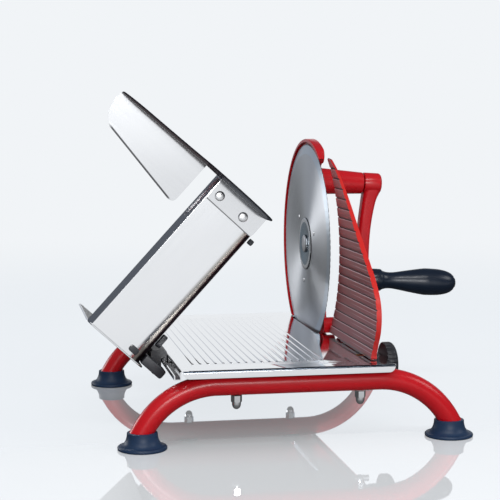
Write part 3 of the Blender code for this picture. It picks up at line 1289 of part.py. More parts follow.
def make_hinge(tilt, slide):
    """Two hinge blocks under the tray, the slider in the plate's channel and the pin through all."""
    place = Matrix.Translation((-HINGE_X, 0, -HINGE_Z))
    top = FLOOR_UNDER - REST_GAP - HINGE_Z
    half = BLOCK_WIDTH / 2
    foot = -half - 1 * MM
    corners = [(-half, top), (-half, foot), (half, foot), (half, top)]
    outline = rounded_corners(corners, [0, 2.4 * MM, 2.4 * MM, 0])
    near0 = TRAY_WALL_Y + 2 * MM
    near1 = near0 + BLOCK_LENGTH
    slide0 = near1 + REST_GAP
    slide1 = slide0 + SLIDER_LENGTH
    far0 = slide1 + REST_GAP
    far1 = far0 + BLOCK_FAR_LENGTH
    pin = HINGE_PIN_DIAMETER / 2
    pin0 = near0 + 4 * MM
    pin1 = far1 - 3 * MM
    for name, y0, y1 in (("near_hinge_block", near0, near1), ("far_hinge_block", far0, far1)):
        block = object_from(name, extruded(outline, "Y", y0, y1), finish_black(), tilt)
        hole = pin + REST_GAP
        cutter(cylinder("Y", pin0 - REST_GAP, pin1 + REST_GAP, hole, 16), block)
    object_from("hinge_pin", cylinder("Y", pin0, pin1, pin, 16), finish_dark_steel(), tilt)
    channel_low = PLATE_TOP - CHANNEL_DEPTH + SHEET
    lip_outer = PLATE_LEFT_X - 2 * SHEET - CHANNEL_WIDTH
    groove_right = PLATE_LEFT_X - SHEET - RUNNING_GAP
    groove_left = groove_right - CHANNEL_WIDTH + 2 * RUNNING_GAP
    lip_top = PLATE_TOP - CHANNEL_DEPTH + CHANNEL_LIP
    leg_right = lip_outer - RUNNING_GAP
    leg_left = leg_right - SLIDER_WIDTH
    crown = FLOOR_UNDER - SLIDER_TOP_GAP
    over_floor = channel_low + RUNNING_GAP
    over_lip = lip_top + RUNNING_GAP
    foot = HINGE_Z - 5 * MM
    section = [(groove_right, over_floor), (groove_right, crown - 2 * MM), (groove_right - 2 * MM, crown)]
    section += [(leg_left + 1.5 * MM, crown), (leg_left, crown - 1.5 * MM), (leg_left, foot + 2 * MM)]
    section += [(leg_left + 2 * MM, foot), (leg_right - 2 * MM, foot), (leg_right, foot + 2 * MM)]
    section += [(leg_right, over_lip), (groove_left, over_lip), (groove_left, over_floor)]
    slider = object_from("carriage_slider", extruded(section, "Y", slide0, slide1), finish_black(), slide)
    hole = pin + RUNNING_GAP
    cutter(cylinder("Y", slide0 - CUT, slide1 + CUT, hole, 16, (HINGE_X, 0, HINGE_Z)), slider)
    make_gliders(tilt, place)


def make_gliders(tilt, place):
    """Pads under the tray floor that run on the plate's ribs."""
    top = FLOOR_UNDER - REST_GAP
    low = PLATE_TOP + RIB_HEIGHT + REST_GAP
    x0 = TRAY_LEFT_X + 20.3 * MM
    y0 = TRAY_WALL_Y + 5 * MM
    pad = rounded_box(x0, x0 + GLIDER_LENGTH, y0, y0 + 7 * MM, 2.5 * MM)
    object_from("glider_pad", moved(extruded(pad, "Z", low, top), place), finish_black(), tilt)
    radius = PEG_DIAMETER / 2
    profile = [(low, 0), (low, radius - 0.6 * MM), (low + 0.6 * MM, radius), (top, radius), (top, 0)]
    peg = turned(profile, "Z", 16, (TRAY_RIGHT_X - 24.5 * MM, y0 - 0.5 * MM, 0))
    object_from("glider_peg", moved(peg, place), finish_black(), tilt)


def set_over_middle(root):
    """Move the whole model so that the origin is under the middle of its bounding box, at table level."""
    bpy.context.view_layer.update()
    graph = bpy.context.evaluated_depsgraph_get()
    low = Vector((1e9, 1e9, 1e9))
    high = -low
    for thing in bpy.context.scene.objects:
        if thing.type != "MESH" or thing.hide_render:
            continue
        shape = thing.evaluated_get(graph).to_mesh()
        for vertex in shape.vertices:
            spot = thing.matrix_world @ vertex.co
            low = Vector(map(min, low, spot))
            high = Vector(map(max, high, spot))
    root.location = (-(low.x + high.x) / 2, -(low.y + high.y) / 2, -low.z)
    size = [round(value, 5) for value in high - low]
    print("root moved by", [round(value, 7) for value in root.location], "size", size)


def report_axes(*centres):
    """Print where the joints lie in the finished frame."""
    bpy.context.view_layer.update()
    for centre in centres:
        spot = centre.matrix_world.translation
        along = centre.matrix_world.to_3x3() @ Vector((1, 0, 0))
        print("joint", centre.name, [round(v, 7) for v in spot], "x axis", [round(v, 6) for v in along])


def main():
    clear_scene()
    root = empty("slicer", (0, 0, 0))
    blade_spin = empty("blade_spin", (0, 0, BLADE_Z), root)
    crank_spin = empty("crank_spin", (0, 0, 0), root)
    crank_spin.matrix_local = crank_frame()
    grip_spin = empty("grip_spin", (0, 0, -CRANK_RADIUS), crank_spin)
    stop_slide = empty("stop_slide", (0, 0, 0), root)
    knob_spin = empty("knob_spin", (0, KNOB_Y, SCREW_Z), root)
    carriage_slide = empty("carriage_slide", (0, 0, 0), root)
    carriage_tilt = empty("carriage_tilt", (HINGE_X, 0, HINGE_Z), carriage_slide)
    carriage_tilt.rotation_euler = (0, -CARRIAGE_TILT, 0)
    make_stand(root)
    make_base_plate(root)
    make_blade(blade_spin)
    make_blade_drive(blade_spin, root)
    make_housing(root)
    make_housing_screws(root)
    make_crank_drive(crank_spin, root)
    make_crank(crank_spin, grip_spin)
    make_stop_plate(stop_slide)
    make_stop_guides(stop_slide, root, knob_spin)
    make_tray(carriage_tilt)
    make_finger_guard(carriage_tilt)
    make_hinge(carriage_tilt, carriage_slide)
    set_over_middle(root)
    report_axes(blade_spin, crank_spin, grip_spin, stop_slide, knob_spin, carriage_slide, carriage_tilt)


main()
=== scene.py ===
"""Food slicer: a bent-tube stand, ribbed plate, geared blade, stop plate and tilting carriage."""

import json
from math import asin, atan2, cos, pi, radians, sin, sqrt, tan

import bpy
from bpy.props import FloatProperty, FloatVectorProperty, IntProperty, PointerProperty
from mathutils import Matrix, Vector


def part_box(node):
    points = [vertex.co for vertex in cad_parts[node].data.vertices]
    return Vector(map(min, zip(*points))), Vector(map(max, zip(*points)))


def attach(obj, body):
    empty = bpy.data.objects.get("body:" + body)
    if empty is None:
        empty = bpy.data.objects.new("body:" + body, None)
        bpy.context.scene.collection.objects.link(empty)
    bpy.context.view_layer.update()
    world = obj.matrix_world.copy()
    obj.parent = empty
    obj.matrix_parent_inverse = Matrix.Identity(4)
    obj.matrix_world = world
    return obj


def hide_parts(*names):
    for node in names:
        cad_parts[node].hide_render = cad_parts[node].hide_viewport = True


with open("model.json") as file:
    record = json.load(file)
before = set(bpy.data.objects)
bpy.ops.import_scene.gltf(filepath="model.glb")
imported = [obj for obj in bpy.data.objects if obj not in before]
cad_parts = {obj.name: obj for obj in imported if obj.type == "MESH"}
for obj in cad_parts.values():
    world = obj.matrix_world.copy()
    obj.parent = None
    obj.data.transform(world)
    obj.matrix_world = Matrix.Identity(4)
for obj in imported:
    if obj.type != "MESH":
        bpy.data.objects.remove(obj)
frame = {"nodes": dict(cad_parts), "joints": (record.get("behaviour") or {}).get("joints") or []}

bl_info = {
    "name": "Hand Food Slicer",
    "version": (1, 0, 0),
    "blender": (4, 5, 0),
    "location": "3D View > Sidebar > Slicer",
    "description": "Models and finishes a hand-cranked food slicer round its working frame",
    "category": "Object",
}

MM = 0.001
SEAT_GAP = 0.3 * MM
CUT = 2 * MM

# Places that the frame gives
JOINTS = {joint["name"]: joint for joint in frame["joints"]}
AXLE = Vector(JOINTS["blade_turn"]["pos_m"])
CRANK = Vector(JOINTS["crank_turn"]["pos_m"])
CRANK_AXIS = Vector(JOINTS["crank_turn"]["axis"])
SCREW = Vector(JOINTS["knob_turn"]["pos_m"])
HINGE = Vector(JOINTS["carriage_tilt"]["pos_m"])
TILT = -radians(JOINTS["carriage_tilt"]["range_deg"][0])
PLATE_LOW, PLATE_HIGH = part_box("base_plate")
PLATE_TOP = 65 * MM
CHANNEL_LOW = PLATE_TOP - 7.5 * MM
KNOB_Y = SCREW.y - AXLE.y
FLOOR_UNDER = PLATE_TOP + 5.3 * MM

# The stop plate, with its tab, turns a little about an upright line
STOP_TOE = radians(1.2)
TAB_TOE = radians(3)
STOP_PIVOT_Y = -80 * MM
SLICE_AT_REST = 7 * MM

# The tray's wall and ends, lying flat on the plate
WALL_Y = -158 * MM
TRAY_LEFT = -167.3 * MM
TRAY_RIGHT = -4.6 * MM

# The maker's frame has the blade's face at X 0, its axle at Y 0 and the table at Z 0
BENCH = Matrix.Translation((AXLE.x, AXLE.y, 0))
BLADE_PLACE = Matrix.Translation(AXLE)
CRANK_PLACE = Matrix.Translation(CRANK) @ Matrix.Rotation(atan2(-CRANK_AXIS.z, CRANK_AXIS.x), 4, "Y")
HINGE_X = HINGE.x - AXLE.x
CARRIAGE_PLACE = (
    Matrix.Translation(HINGE) @ Matrix.Rotation(-TILT, 4, "Y") @ Matrix.Translation((-HINGE_X, 0, -HINGE.z))
)


def length(name, description, default):
    return FloatProperty(name=name, description=description, default=default, unit="LENGTH", precision=4)


def colour(name, description, default):
    return FloatVectorProperty(name=name, description=description, default=default, subtype="COLOR", min=0, max=1)


class SlicerStandSizes(bpy.types.PropertyGroup):
    tube: length("Tube", "Outer diameter of the bent tube", 18 * MM)
    bend: length("Bend", "Radius of the tube's bend at its middle line", 69.4 * MM)
    straight: length("Straight", "Straight length between the two bends", 136 * MM)
    foot: length("Foot", "Diameter of the foot's skirt", 40.4 * MM)
    neck: length("Neck", "Diameter of the foot's neck", 25 * MM)
    nut: length("Nut", "Width over the nut's flats", 8 * MM)


class SlicerPlateSizes(bpy.types.PropertyGroup):
    sheet: length("Sheet", "Thickness of the plate", 1 * MM)
    rim: length("Rim", "Height of the turned-down rim", 6.5 * MM)
    rib_pitch: length("Rib pitch", "Distance from rib to rib", 6.4 * MM)
    rib_width: length("Rib width", "Width of one embossed rib", 2.6 * MM)
    rib_height: length("Rib height", "Height of one embossed rib", 0.5 * MM)
    ribs: IntProperty(name="Ribs", description="Number of embossed ribs", default=18, min=1)


class SlicerBladeSizes(bpy.types.PropertyGroup):
    diameter: length("Blade", "Diameter of the blade", 190 * MM)
    thickness: length("Thickness", "Thickness of the blade", 1.2 * MM)
    bevel: length("Bevel", "Width of the ground bevel", 9.5 * MM)
    wave_depth: length("Wave depth", "Depth of the waves in the edge", 0.85 * MM)
    waves: IntProperty(name="Waves", description="Number of waves in the edge", default=105, min=3)
    hub: length("Hub", "Diameter of the hub cap", 50 * MM)


class SlicerCastingSizes(bpy.types.PropertyGroup):
    radius: length("Casting", "Outer radius of the casting round the blade", 100 * MM)
    pocket: length("Pocket", "Radius of the blade's pocket", 97 * MM)
    rim_back: length("Rim back", "Where the rim's back face lies", 8 * MM)
    back: length("Back", "Where the gear bulge's back face lies", 11.2 * MM)
    sleeve_end: length("Sleeve end", "Where the crank's sleeve ends", 55 * MM)
    sleeve: length("Sleeve", "Diameter of the crank's sleeve at its end", 20.5 * MM)


class SlicerCrankSizes(bpy.types.PropertyGroup):
    radius: length("Crank", "From the crank's axle to the handle's spindle", 93 * MM)
    hub: length("Hub", "Diameter of the crank's hub", 20.5 * MM)
    hub_length: length("Hub length", "Length of the crank's hub", 17 * MM)
    eye: length("Eye", "Diameter of the eye at the handle", 18 * MM)
    grip: length("Grip", "Length of the handle", 84 * MM)
    collar: length("Collar", "Diameter of the handle's collar", 21.5 * MM)
    neck: length("Neck", "Diameter of the handle's neck", 15.8 * MM)
    belly: length("Belly", "Diameter of the handle's belly", 26 * MM)


class SlicerStopSizes(bpy.types.PropertyGroup):
    rib_pitch: length("Rib pitch", "Distance from groove to groove", 8.4 * MM)
    rib_depth: length("Rib depth", "Depth of the grooves", 0.9 * MM)
    thickness: length("Thickness", "Thickness of the stop plate's edge", 4.4 * MM)
    knob: length("Knob", "Diameter of the thickness knob", 36 * MM)
    ridges: IntProperty(name="Ridges", description="Number of ridges round the knob", default=30, min=6)


class SlicerCarriageSizes(bpy.types.PropertyGroup):
    sheet: length("Sheet", "Thickness of the tray's sheet", 1.2 * MM)
    depth: length("Depth", "Depth of the tray's floor", 105 * MM)
    height: length("Height", "Height of the tray's wall", 57.4 * MM)
    bend: length("Bend", "Outer radius of the bend between wall and floor", 12 * MM)
    band: length("Band", "Height of the sloping band along the wall's top", 4.4 * MM)
    fin_start: length("Fin start", "Height of the fin's foot over the floor", 70 * MM)
    fin_top: length("Fin top", "Height of the fin's top over the floor", 162 * MM)
    fin_width: length("Fin width", "Width of the fin at its foot", 43.7 * MM)
    panel: length("Panel", "Depth of the panel beside the blade", 45 * MM)


class SlicerColours(bpy.types.PropertyGroup):
    red: colour("Red", "Powder coat of the castings and tubes", (0.47, 0.004, 0.009))
    steel: colour("Steel", "Polished stainless sheet", (0.88, 0.88, 0.89))
    blade: colour("Blade", "Ground blade steel", (0.58, 0.60, 0.63))
    black: colour("Black", "Black plastic", (0.014, 0.015, 0.019))
    handle: colour("Handle", "Polished handle", (0.003, 0.007, 0.016))
    rubber: colour("Rubber", "Rubber of the feet", (0.010, 0.026, 0.062))
    bronze: colour("Bronze", "Sintered bronze of the bushes", (0.55, 0.33, 0.13))
    nylon: colour("Nylon", "Natural nylon of the gear", (0.75, 0.72, 0.64))
    backdrop: colour("Backdrop", "Floor and background", (0.88, 0.905, 0.93))


# Drawing and shaping


def in_mm(*points):
    """Points given in millimetres."""
    return [tuple(value * MM for value in point) for point in points]


def arc(centre, radius, start, end, steps):
    """Points of an arc in a plane, with both its ends. An oval has a radius for each direction."""
    across, up = radius if isinstance(radius, tuple) else (radius, radius)
    turns = [start + (end - start) * step / steps for step in range(steps + 1)]
    return [(centre[0] + across * cos(turn), centre[1] + up * sin(turn)) for turn in turns]


def rounded_box(a0, a1, b0, b1, radius, steps=6):
    """A box between two places each way, with its corners rounded alike."""
    points = []
    for a, b, turn in (
        (a1 - radius, b0 + radius, -pi / 2), (a1 - radius, b1 - radius, 0),
        (a0 + radius, b1 - radius, pi / 2), (a0 + radius, b0 + radius, pi),
    ):
        points += arc((a, b), radius, turn, turn + pi / 2, steps)
    return points


def between(a, b, c, d, t):
    """A smooth value from b to c, led by a and d."""
    return 0.5 * (2 * b + (c - a) * t + (2 * a - 5 * b + 4 * c - d) * t * t + (3 * b - a - 3 * c + d) * t ** 3)


def smooth_line(points, steps):
    """A smooth line through points, both ends included."""
    line = []
    last = len(points) - 1
    for i in range(last):
        near = [points[max(i - 1, 0)], points[i], points[i + 1], points[min(i + 2, last)]]
        line += [tuple(between(*values, step / steps) for values in zip(*near)) for step in range(steps)]
    return line + [tuple(points[-1])]


def rounded_corners(points, radii, steps=6):
    """Round the corners of a closed outline, each by its own radius."""
    out = []
    for i, point in enumerate(points):
        if not radii[i]:
            out.append(point)
            continue
        here = Vector(point)
        back = Vector(points[i - 1]) - here
        ahead = Vector(points[(i + 1) % len(points)]) - here
        reach = min(radii[i] / tan(back.angle(ahead) / 2), back.length * 0.48, ahead.length * 0.48)
        start = here + back.normalized() * reach
        end = here + ahead.normalized() * reach
        for k in range(steps + 1):
            t = k / steps
            out.append(tuple(start.lerp(here, t).lerp(here.lerp(end, t), t)))
    return out


def mode(name):
    if bpy.context.mode != name:
        bpy.ops.object.mode_set(mode=name)


def drop_all():
    """Go to object mode with nothing selected."""
    mode("OBJECT")
    bpy.ops.object.select_all(action="DESELECT")


def pick(piece):
    """Make a piece the only selected one, in object mode."""
    drop_all()
    piece.select_set(True)
    bpy.context.view_layer.objects.active = piece


def take_all():
    """Select the whole mesh, in edit mode."""
    mode("EDIT")
    bpy.ops.mesh.select_all(action="SELECT")


def push(step):
    """Extrude what is selected."""
    bpy.ops.mesh.extrude_region_move(TRANSFORM_OT_translate={"value": step})


def name_it(piece, name):
    piece.name = name
    piece.data.name = name
    return piece


def draw(name, points):
    """Draw a line of edges from a single corner, and leave it open in edit mode."""
    drop_all()
    bpy.ops.mesh.primitive_plane_add(size=MM)
    piece = name_it(bpy.context.object, name)
    mode("EDIT")
    bpy.ops.mesh.merge(type="CENTER")
    bpy.ops.transform.translate(value=points[0])
    for here, there in zip(points, points[1:]):
        push([b - a for a, b in zip(here, there)])
    return piece


def tidy_mesh():
    """Merge what meets, turn all faces outwards and leave edit mode."""
    take_all()
    bpy.ops.mesh.remove_doubles(threshold=0.000002)
    bpy.ops.mesh.normals_make_consistent(inside=False)
    mode("OBJECT")


def fill(name, points):
    """Draw a closed outline as one face, and leave it selected in edit mode."""
    piece = draw(name, points)
    take_all()
    bpy.ops.mesh.edge_face_add()
    return piece


def slab(name, outline, axis, start, end):
    """Draw an outline square to an axis, fill it and extrude it."""
    order = "XYZ".index(axis)

    def spot(values, along):
        values = list(values)
        values.insert(order, along)
        return tuple(values)

    piece = fill(name, [spot(point, start) for point in outline])
    push(spot((0, 0), end - start))
    tidy_mesh()
    return piece


def turn_up(name, profile, axis="X", centre=(0, 0, 0), steps=72, ring=False):
    """Draw a profile of places along an axis with their radii, and spin it round."""
    middle = Vector(centre)
    along = Vector([float(letter == axis) for letter in "XYZ"])
    out = Vector((1, 0, 0)) if axis == "Z" else Vector((0, 0, 1))
    points = [tuple(middle + along * place + out * radius) for place, radius in profile]
    piece = draw(name, points + points[:1] if ring else points)
    take_all()
    bpy.ops.mesh.spin(steps=steps, angle=2 * pi, center=middle, axis=along)
    tidy_mesh()
    return piece


def rod(name, axis, start, end, radius, centre=(0, 0, 0), steps=48):
    """A plain round bar, used as a cutter."""
    return turn_up(name, [(start, 0), (start, radius), (end, radius), (end, 0)], axis, centre, steps)


def loft(name, sections):
    """Fill the first section and extrude it from section to section; each has as many corners."""
    first = sections[0]
    piece = fill(name, first)
    count = len(first)
    mode("OBJECT")
    order = [min(range(count), key=lambda k: (Vector(first[k]) - vertex.co).length) for vertex in piece.data.vertices]
    for section in sections[1:]:
        mode("EDIT")
        push((0, 0, 0))
        mode("OBJECT")
        for vertex, k in zip(piece.data.vertices[-count:], order):
            vertex.co = section[k]
    tidy_mesh()
    return piece


def change(piece, kind, **settings):
    """Add a modifier with its settings, and apply it."""
    modifier = piece.modifiers.new(kind.lower(), kind)
    for name, value in settings.items():
        setattr(modifier, name, value)
    pick(piece)
    bpy.ops.object.modifier_apply(modifier=modifier.name)


def cut(piece, tool, operation="DIFFERENCE"):
    """Cut a piece with a tool, or join or trim it, and drop the tool."""
    change(piece, "BOOLEAN", object=tool, operation=operation, solver="EXACT")
    bpy.data.objects.remove(tool)


def close_up(piece):
    """Weld the slivers that cuts leave open."""
    pick(piece)
    take_all()
    bpy.ops.mesh.remove_doubles(threshold=0.02 * MM)
    tidy_mesh()


def round_edges(piece, width, segments=3, angle=30):
    """Round every edge sharper than an angle."""
    change(
        piece, "BEVEL", width=width, segments=segments, limit_method="ANGLE", angle_limit=radians(angle),
        harden_normals=False,
    )


def seat(piece, place):
    """Move a piece from the maker's frame to its place, and leave its place in its mesh."""
    pick(piece)
    piece.matrix_world = place
    bpy.ops.object.transform_apply(location=True, rotation=True, scale=True)
    return piece


def copy_of(piece, name, step):
    """A copy with its own mesh, moved by a step."""
    pick(piece)
    bpy.ops.object.duplicate_move(TRANSFORM_OT_translate={"value": step})
    made = name_it(bpy.context.object, name)
    bpy.ops.object.transform_apply(location=True, rotation=True, scale=True)
    return made


def dress(piece, angle, body, finish, slot, *nodes):
    """Smooth a finished piece, give it its finish and its body, and hide the frame's nodes that it stands for."""
    pick(piece)
    bpy.ops.object.shade_smooth_by_angle(angle=radians(angle))
    piece.data.materials.clear()
    piece.data.materials.append(finish())
    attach(piece, body)
    if nodes:
        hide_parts(*nodes)


def refinish(finish, *nodes):
    """A better finish on nodes whose shape is right already."""
    for name in nodes:
        node = frame["nodes"][name]
        node.data.materials.clear()
        node.data.materials.append(finish())
        pick(node)
        node.data.shade_smooth()
        node.data.set_sharp_from_angle(angle=radians(30))


# Finishes


class Wire:
    """A value in a material. Arithmetic on it adds Math nodes."""

    def __init__(self, sheet, socket):
        self.sheet = sheet
        self.socket = socket

    def __add__(self, other):
        return self.sheet.math("ADD", self, other)

    __radd__ = __add__

    def __sub__(self, other):
        return self.sheet.math("SUBTRACT", self, other)

    def __rsub__(self, other):
        return self.sheet.math("SUBTRACT", other, self)

    def __mul__(self, other):
        return self.sheet.math("MULTIPLY", self, other)

    __rmul__ = __mul__

    def __truediv__(self, other):
        return self.sheet.math("DIVIDE", self, other)

    def below(self, edge, width):
        return 1 - self.above(edge, width)

    def above(self, edge, width):
        """0 below an edge and 1 above it, with a soft step of a width."""
        return self.sheet.add(
            "ShaderNodeMapRange", {0: self, 1: edge - width / 2, 2: edge + width / 2, 3: 0.0, 4: 1.0},
            interpolation_type="SMOOTHSTEP",
        )


class Sheet:
    """The nodes of one material, or of the world."""

    def __init__(self, name, world=None):
        self.material = world or bpy.data.materials.new(name)
        self.material.use_nodes = True
        self.nodes = self.material.node_tree.nodes
        self.links = self.material.node_tree.links
        self.shader = self.nodes.get("Principled BSDF")

    def add(self, kind, inputs=None, out=0, **settings):
        node = self.nodes.new(kind)
        for name, value in settings.items():
            setattr(node, name, value)
        for key, value in (inputs or {}).items():
            self.feed(node.inputs[key], value)
        return Wire(self, node.outputs[out])

    def feed(self, socket, value):
        if isinstance(value, Wire):
            self.links.new(value.socket, socket)
        else:
            socket.default_value = value

    def math(self, operation, first, second=0.0):
        return self.add("ShaderNodeMath", {0: first, 1: second}, operation=operation)

    def vector(self, operation, first, second=(0, 0, 0), out="Vector"):
        return self.add("ShaderNodeVectorMath", {0: first, 1: second}, out=out, operation=operation)

    def here(self, place=None, stretch=(1, 1, 1)):
        """Object coordinates, turned into a place's own axes, then stretched."""
        spot = self.add("ShaderNodeTexCoord", out="Object")
        if place is None and stretch == (1, 1, 1):
            return spot
        back = (place or Matrix()).inverted()
        spot = self.add(
            "ShaderNodeMapping", {"Vector": spot, "Location": back.translation, "Rotation": back.to_euler()}
        )
        return self.vector("MULTIPLY", spot, stretch)

    def facing(self, direction):
        """How much the surface faces a direction."""
        return self.vector("DOT_PRODUCT", self.add("ShaderNodeTexCoord", out="Normal"), direction, "Value")

    def reach(self, spot):
        """Distance from the blade's axle."""
        return self.vector("LENGTH", self.vector("MULTIPLY", spot, (0, 1, 1)), out="Value")

    def split(self, spot):
        """X, Y and Z of a vector."""
        first = self.add("ShaderNodeSeparateXYZ", {0: spot})
        return [Wire(self, socket) for socket in first.socket.node.outputs]

    def noise(self, spot, scale, detail=2.0, rough=0.5):
        return self.add(
            "ShaderNodeTexNoise", {"Vector": spot, "Scale": scale, "Detail": detail, "Roughness": rough}
        )

    def mix(self, factor, first, second):
        """Blend two colours."""
        values = {0: factor}
        for key, value in ((6, first), (7, second)):
            values[key] = value if isinstance(value, Wire) else (*value, 1.0)
        return self.add("ShaderNodeMix", values, out=2, data_type="RGBA")

    def blend(self, factor, first, second):
        """Blend two shaders."""
        return self.add("ShaderNodeMixShader", {0: factor, 1: first, 2: second})

    def by_ray(self, seen, mirrored, rest):
        """One shader for what the camera sees, one for what mirrors see and one for the light that spreads."""
        glossy_ray = self.add("ShaderNodeLightPath", out="Is Glossy Ray")
        camera_ray = self.add("ShaderNodeLightPath", out="Is Camera Ray")
        return self.blend(camera_ray, self.blend(glossy_ray, rest, mirrored), seen)

    def glow(self, tint, strength):
        return self.add("ShaderNodeEmission", {"Color": (*tint, 1), "Strength": strength})

    def bump(self, height, depth, strength=1.0):
        return self.add("ShaderNodeBump", {"Height": height, "Distance": depth, "Strength": strength})

    def brushed(self, stretch, place=None):
        """The grain of brushed sheet, and its clouds."""
        return self.noise(self.here(place, stretch), 900, 3, 0.6), self.noise(self.here(place), 9, 2)

    def finish(self, **sockets):
        for name, value in sockets.items():
            socket = self.shader.inputs[name.replace("_", " ").title().replace("Ior", "IOR")]
            if not isinstance(value, (Wire, float, int)):
                value = (*value, 1.0)
            self.feed(socket, value)
        return self.material

    def show(self, surface):
        self.feed(self.nodes["Material Output"].inputs["Surface"], surface)


def darker(shade_of, share):
    return tuple(channel * share for channel in shade_of)


def made_once(make):
    """Keep each finish after it has been made."""
    kept = {}

    def again():
        if "made" not in kept:
            kept["made"] = make(bpy.context.scene.slicer_colours)
        return kept["made"]

    return again


def plain_finish(name, tones, drift, rough, grain=None, depth=0.0, strength=0.0, place=None, stretch=(1, 1, 1), **more):
    """A finish that drifts between two tones and roughens with them, over a fine grain of its own or the drift."""
    sheet = Sheet(name)
    cloud = sheet.noise(sheet.here(stretch=(1, 1, 1) if grain else stretch), *drift)
    if depth:
        fine = sheet.noise(sheet.here(place, stretch), *grain) if grain else cloud
        more["normal"] = sheet.bump(fine, depth * MM, strength)
    return sheet.finish(base_color=sheet.mix(cloud, *tones), roughness=rough[0] + rough[1] * cloud, **more)


@made_once
def red_coat(colours):
    return plain_finish(
        "red_powder_coat", (darker(colours.red, 0.86), colours.red), (18, 3), (0.24, 0.08), (1300, 1), 0.02, 0.35,
        specular_ior_level=0.4,
    )


@made_once
def bright_steel(colours):
    return plain_finish(
        "bright_steel", (darker(colours.steel, 0.9), colours.steel), (60, 2), (0.08, 0.08), metallic=1.0
    )


@made_once
def rivet_steel(colours):
    """Satin heads, not as bright as the sheet round them."""
    return plain_finish(
        "satin_rivet_steel", (darker(colours.steel, 0.75), darker(colours.steel, 0.9)), (300, 2), (0.3, 0.12),
        metallic=1.0,
    )


@made_once
def turned_steel(_):
    return plain_finish(
        "turned_steel", ((0.34, 0.35, 0.37), (0.5, 0.51, 0.53)), (220, 3), (0.26, 0.12), depth=0.004, strength=0.4,
        stretch=(12, 1, 1), metallic=1.0,
    )


@made_once
def black_plastic(colours):
    return plain_finish(
        "black_plastic", (colours.black, darker(colours.black, 1.7)), (45, 2), (0.34, 0.14), (2200, 2), 0.03, 0.35
    )


@made_once
def handle_black(colours):
    return plain_finish(
        "polished_black_handle", (colours.handle, darker(colours.handle, 1.8)), (40, 3), (0.26, 0.1), (40, 2), 0.01,
        0.3, CRANK_PLACE, (30, 1, 1), specular_ior_level=0.5,
    )


@made_once
def foot_rubber(colours):
    return plain_finish(
        "navy_rubber", (darker(colours.rubber, 0.8), darker(colours.rubber, 1.35)), (55, 2), (0.36, 0.16), (900, 3),
        0.03, 0.3, specular_ior_level=0.3,
    )


@made_once
def bush_bronze(colours):
    return plain_finish(
        "sintered_bronze", (darker(colours.bronze, 0.75), colours.bronze), (1800, 3), (0.34, 0.15), depth=0.02,
        strength=0.4, metallic=1.0,
    )


@made_once
def gear_nylon(colours):
    return plain_finish(
        "gear_nylon", (darker(colours.nylon, 0.92), colours.nylon), (60, 3), (0.4, 0.1), subsurface_weight=0.05
    )


@made_once
def stop_coat(_):
    """The same coat on the ribbed casting. Its ribbed face is a darker copy of the red in painted shade, darker still
    towards the bottom, in the grooves and along the foot, with painted highlights along the rib edges; the near edge
    keeps the brighter red.
    """
    sheet = Sheet("red_ribbed_coat")
    spot = sheet.here()
    cloud = sheet.noise(spot, 30, 3)
    side, nearness, _ = sheet.split(sheet.add("ShaderNodeTexCoord", out="Normal"))
    _, y, height = sheet.split(spot)
    ribbed = side.below(-0.3, 0.3)
    foot = PLATE_TOP + 3 * MM
    # painted shade: the ribbed face darkens towards the bottom
    shaded_low = height.below(AXLE.z + 25 * MM, 70 * MM)
    phase = sheet.math("FRACT", (height - foot) / bpy.context.scene.slicer_stop.rib_pitch)
    # painted highlights: light lines along the rib edges, and at half pitch towards the front
    lip = ribbed * height.above(PLATE_TOP + 3.1 * MM, 0.2 * MM) * phase.above(0.79, 0.03) * phase.below(0.85, 0.02)
    half = ribbed * phase.above(0.38, 0.03) * phase.below(0.44, 0.03) * y.below(AXLE.y - 150 * MM, 40 * MM)
    # painted shade in the grooves
    groove = phase.above(0.85, 0.02) * phase.below(0.985, 0.02)
    # the ribbed face is a darker copy of the red, as painted shade
    face_shade_red = sheet.mix(cloud, (0.34, 0.006, 0.010), (0.42, 0.008, 0.012))
    face_light_and_shade = sheet.mix(shaded_low, face_shade_red, sheet.mix(cloud, (0.19, 0.008, 0.012), (0.26, 0.012, 0.016)))
    face_light_and_shade = sheet.mix(groove, face_light_and_shade, (0.07, 0.002, 0.004))
    # painted shade along the foot, under the face
    face_light_and_shade = sheet.mix(height.below(foot, 0.3 * MM), face_light_and_shade, (0.1, 0.002, 0.004))
    # the painted highlights, stronger towards the bottom
    face_light_and_shade = sheet.mix((lip + 0.6 * half) * (0.25 + 0.75 * shaded_low), face_light_and_shade, (0.62, 0.42, 0.45))
    # the near edge keeps the brighter red, against the painted shade of the face
    tone = sheet.mix(cloud, (0.48, 0.009, 0.007), (0.56, 0.014, 0.008))
    return sheet.finish(
        base_color=sheet.mix(nearness.above(-0.4, 0.3), tone, face_light_and_shade), roughness=0.28 + 0.1 * cloud,
        specular_ior_level=0.6, normal=sheet.bump(sheet.noise(spot, 1500, 1), 0.02 * MM, 0.3),
    )


@made_once
def tray_steel(colours):
    """Brushed sheet, with a painted warm highlight where the bend starts and painted shade from the bend on to its
    underside.
    """
    sheet = Sheet("brushed_tray_steel")
    grain, cloud = sheet.brushed((0.02, 1, 1), CARRIAGE_PLACE)
    low = sheet.facing(CARRIAGE_PLACE.to_3x3() @ Vector((0, 0, -1)))
    light = sheet.mix(grain * 0.5 + cloud * 0.5, darker(colours.steel, 0.99), (0.95, 0.95, 0.96))
    # painted warm highlight where the bend starts
    bend_highlight = sheet.mix(low.above(0.3, 0.4), light, (0.84, 0.78, 0.7))
    # painted shade from the bend on to the underside
    return sheet.finish(
        base_color=sheet.mix(low.above(0.58, 0.2), bend_highlight, (0.06, 0.035, 0.045)), metallic=1.0,
        roughness=0.1 + 0.1 * grain + 0.25 * low.above(0.35, 0.4), normal=sheet.bump(grain, 0.002 * MM, 0.3),
    )


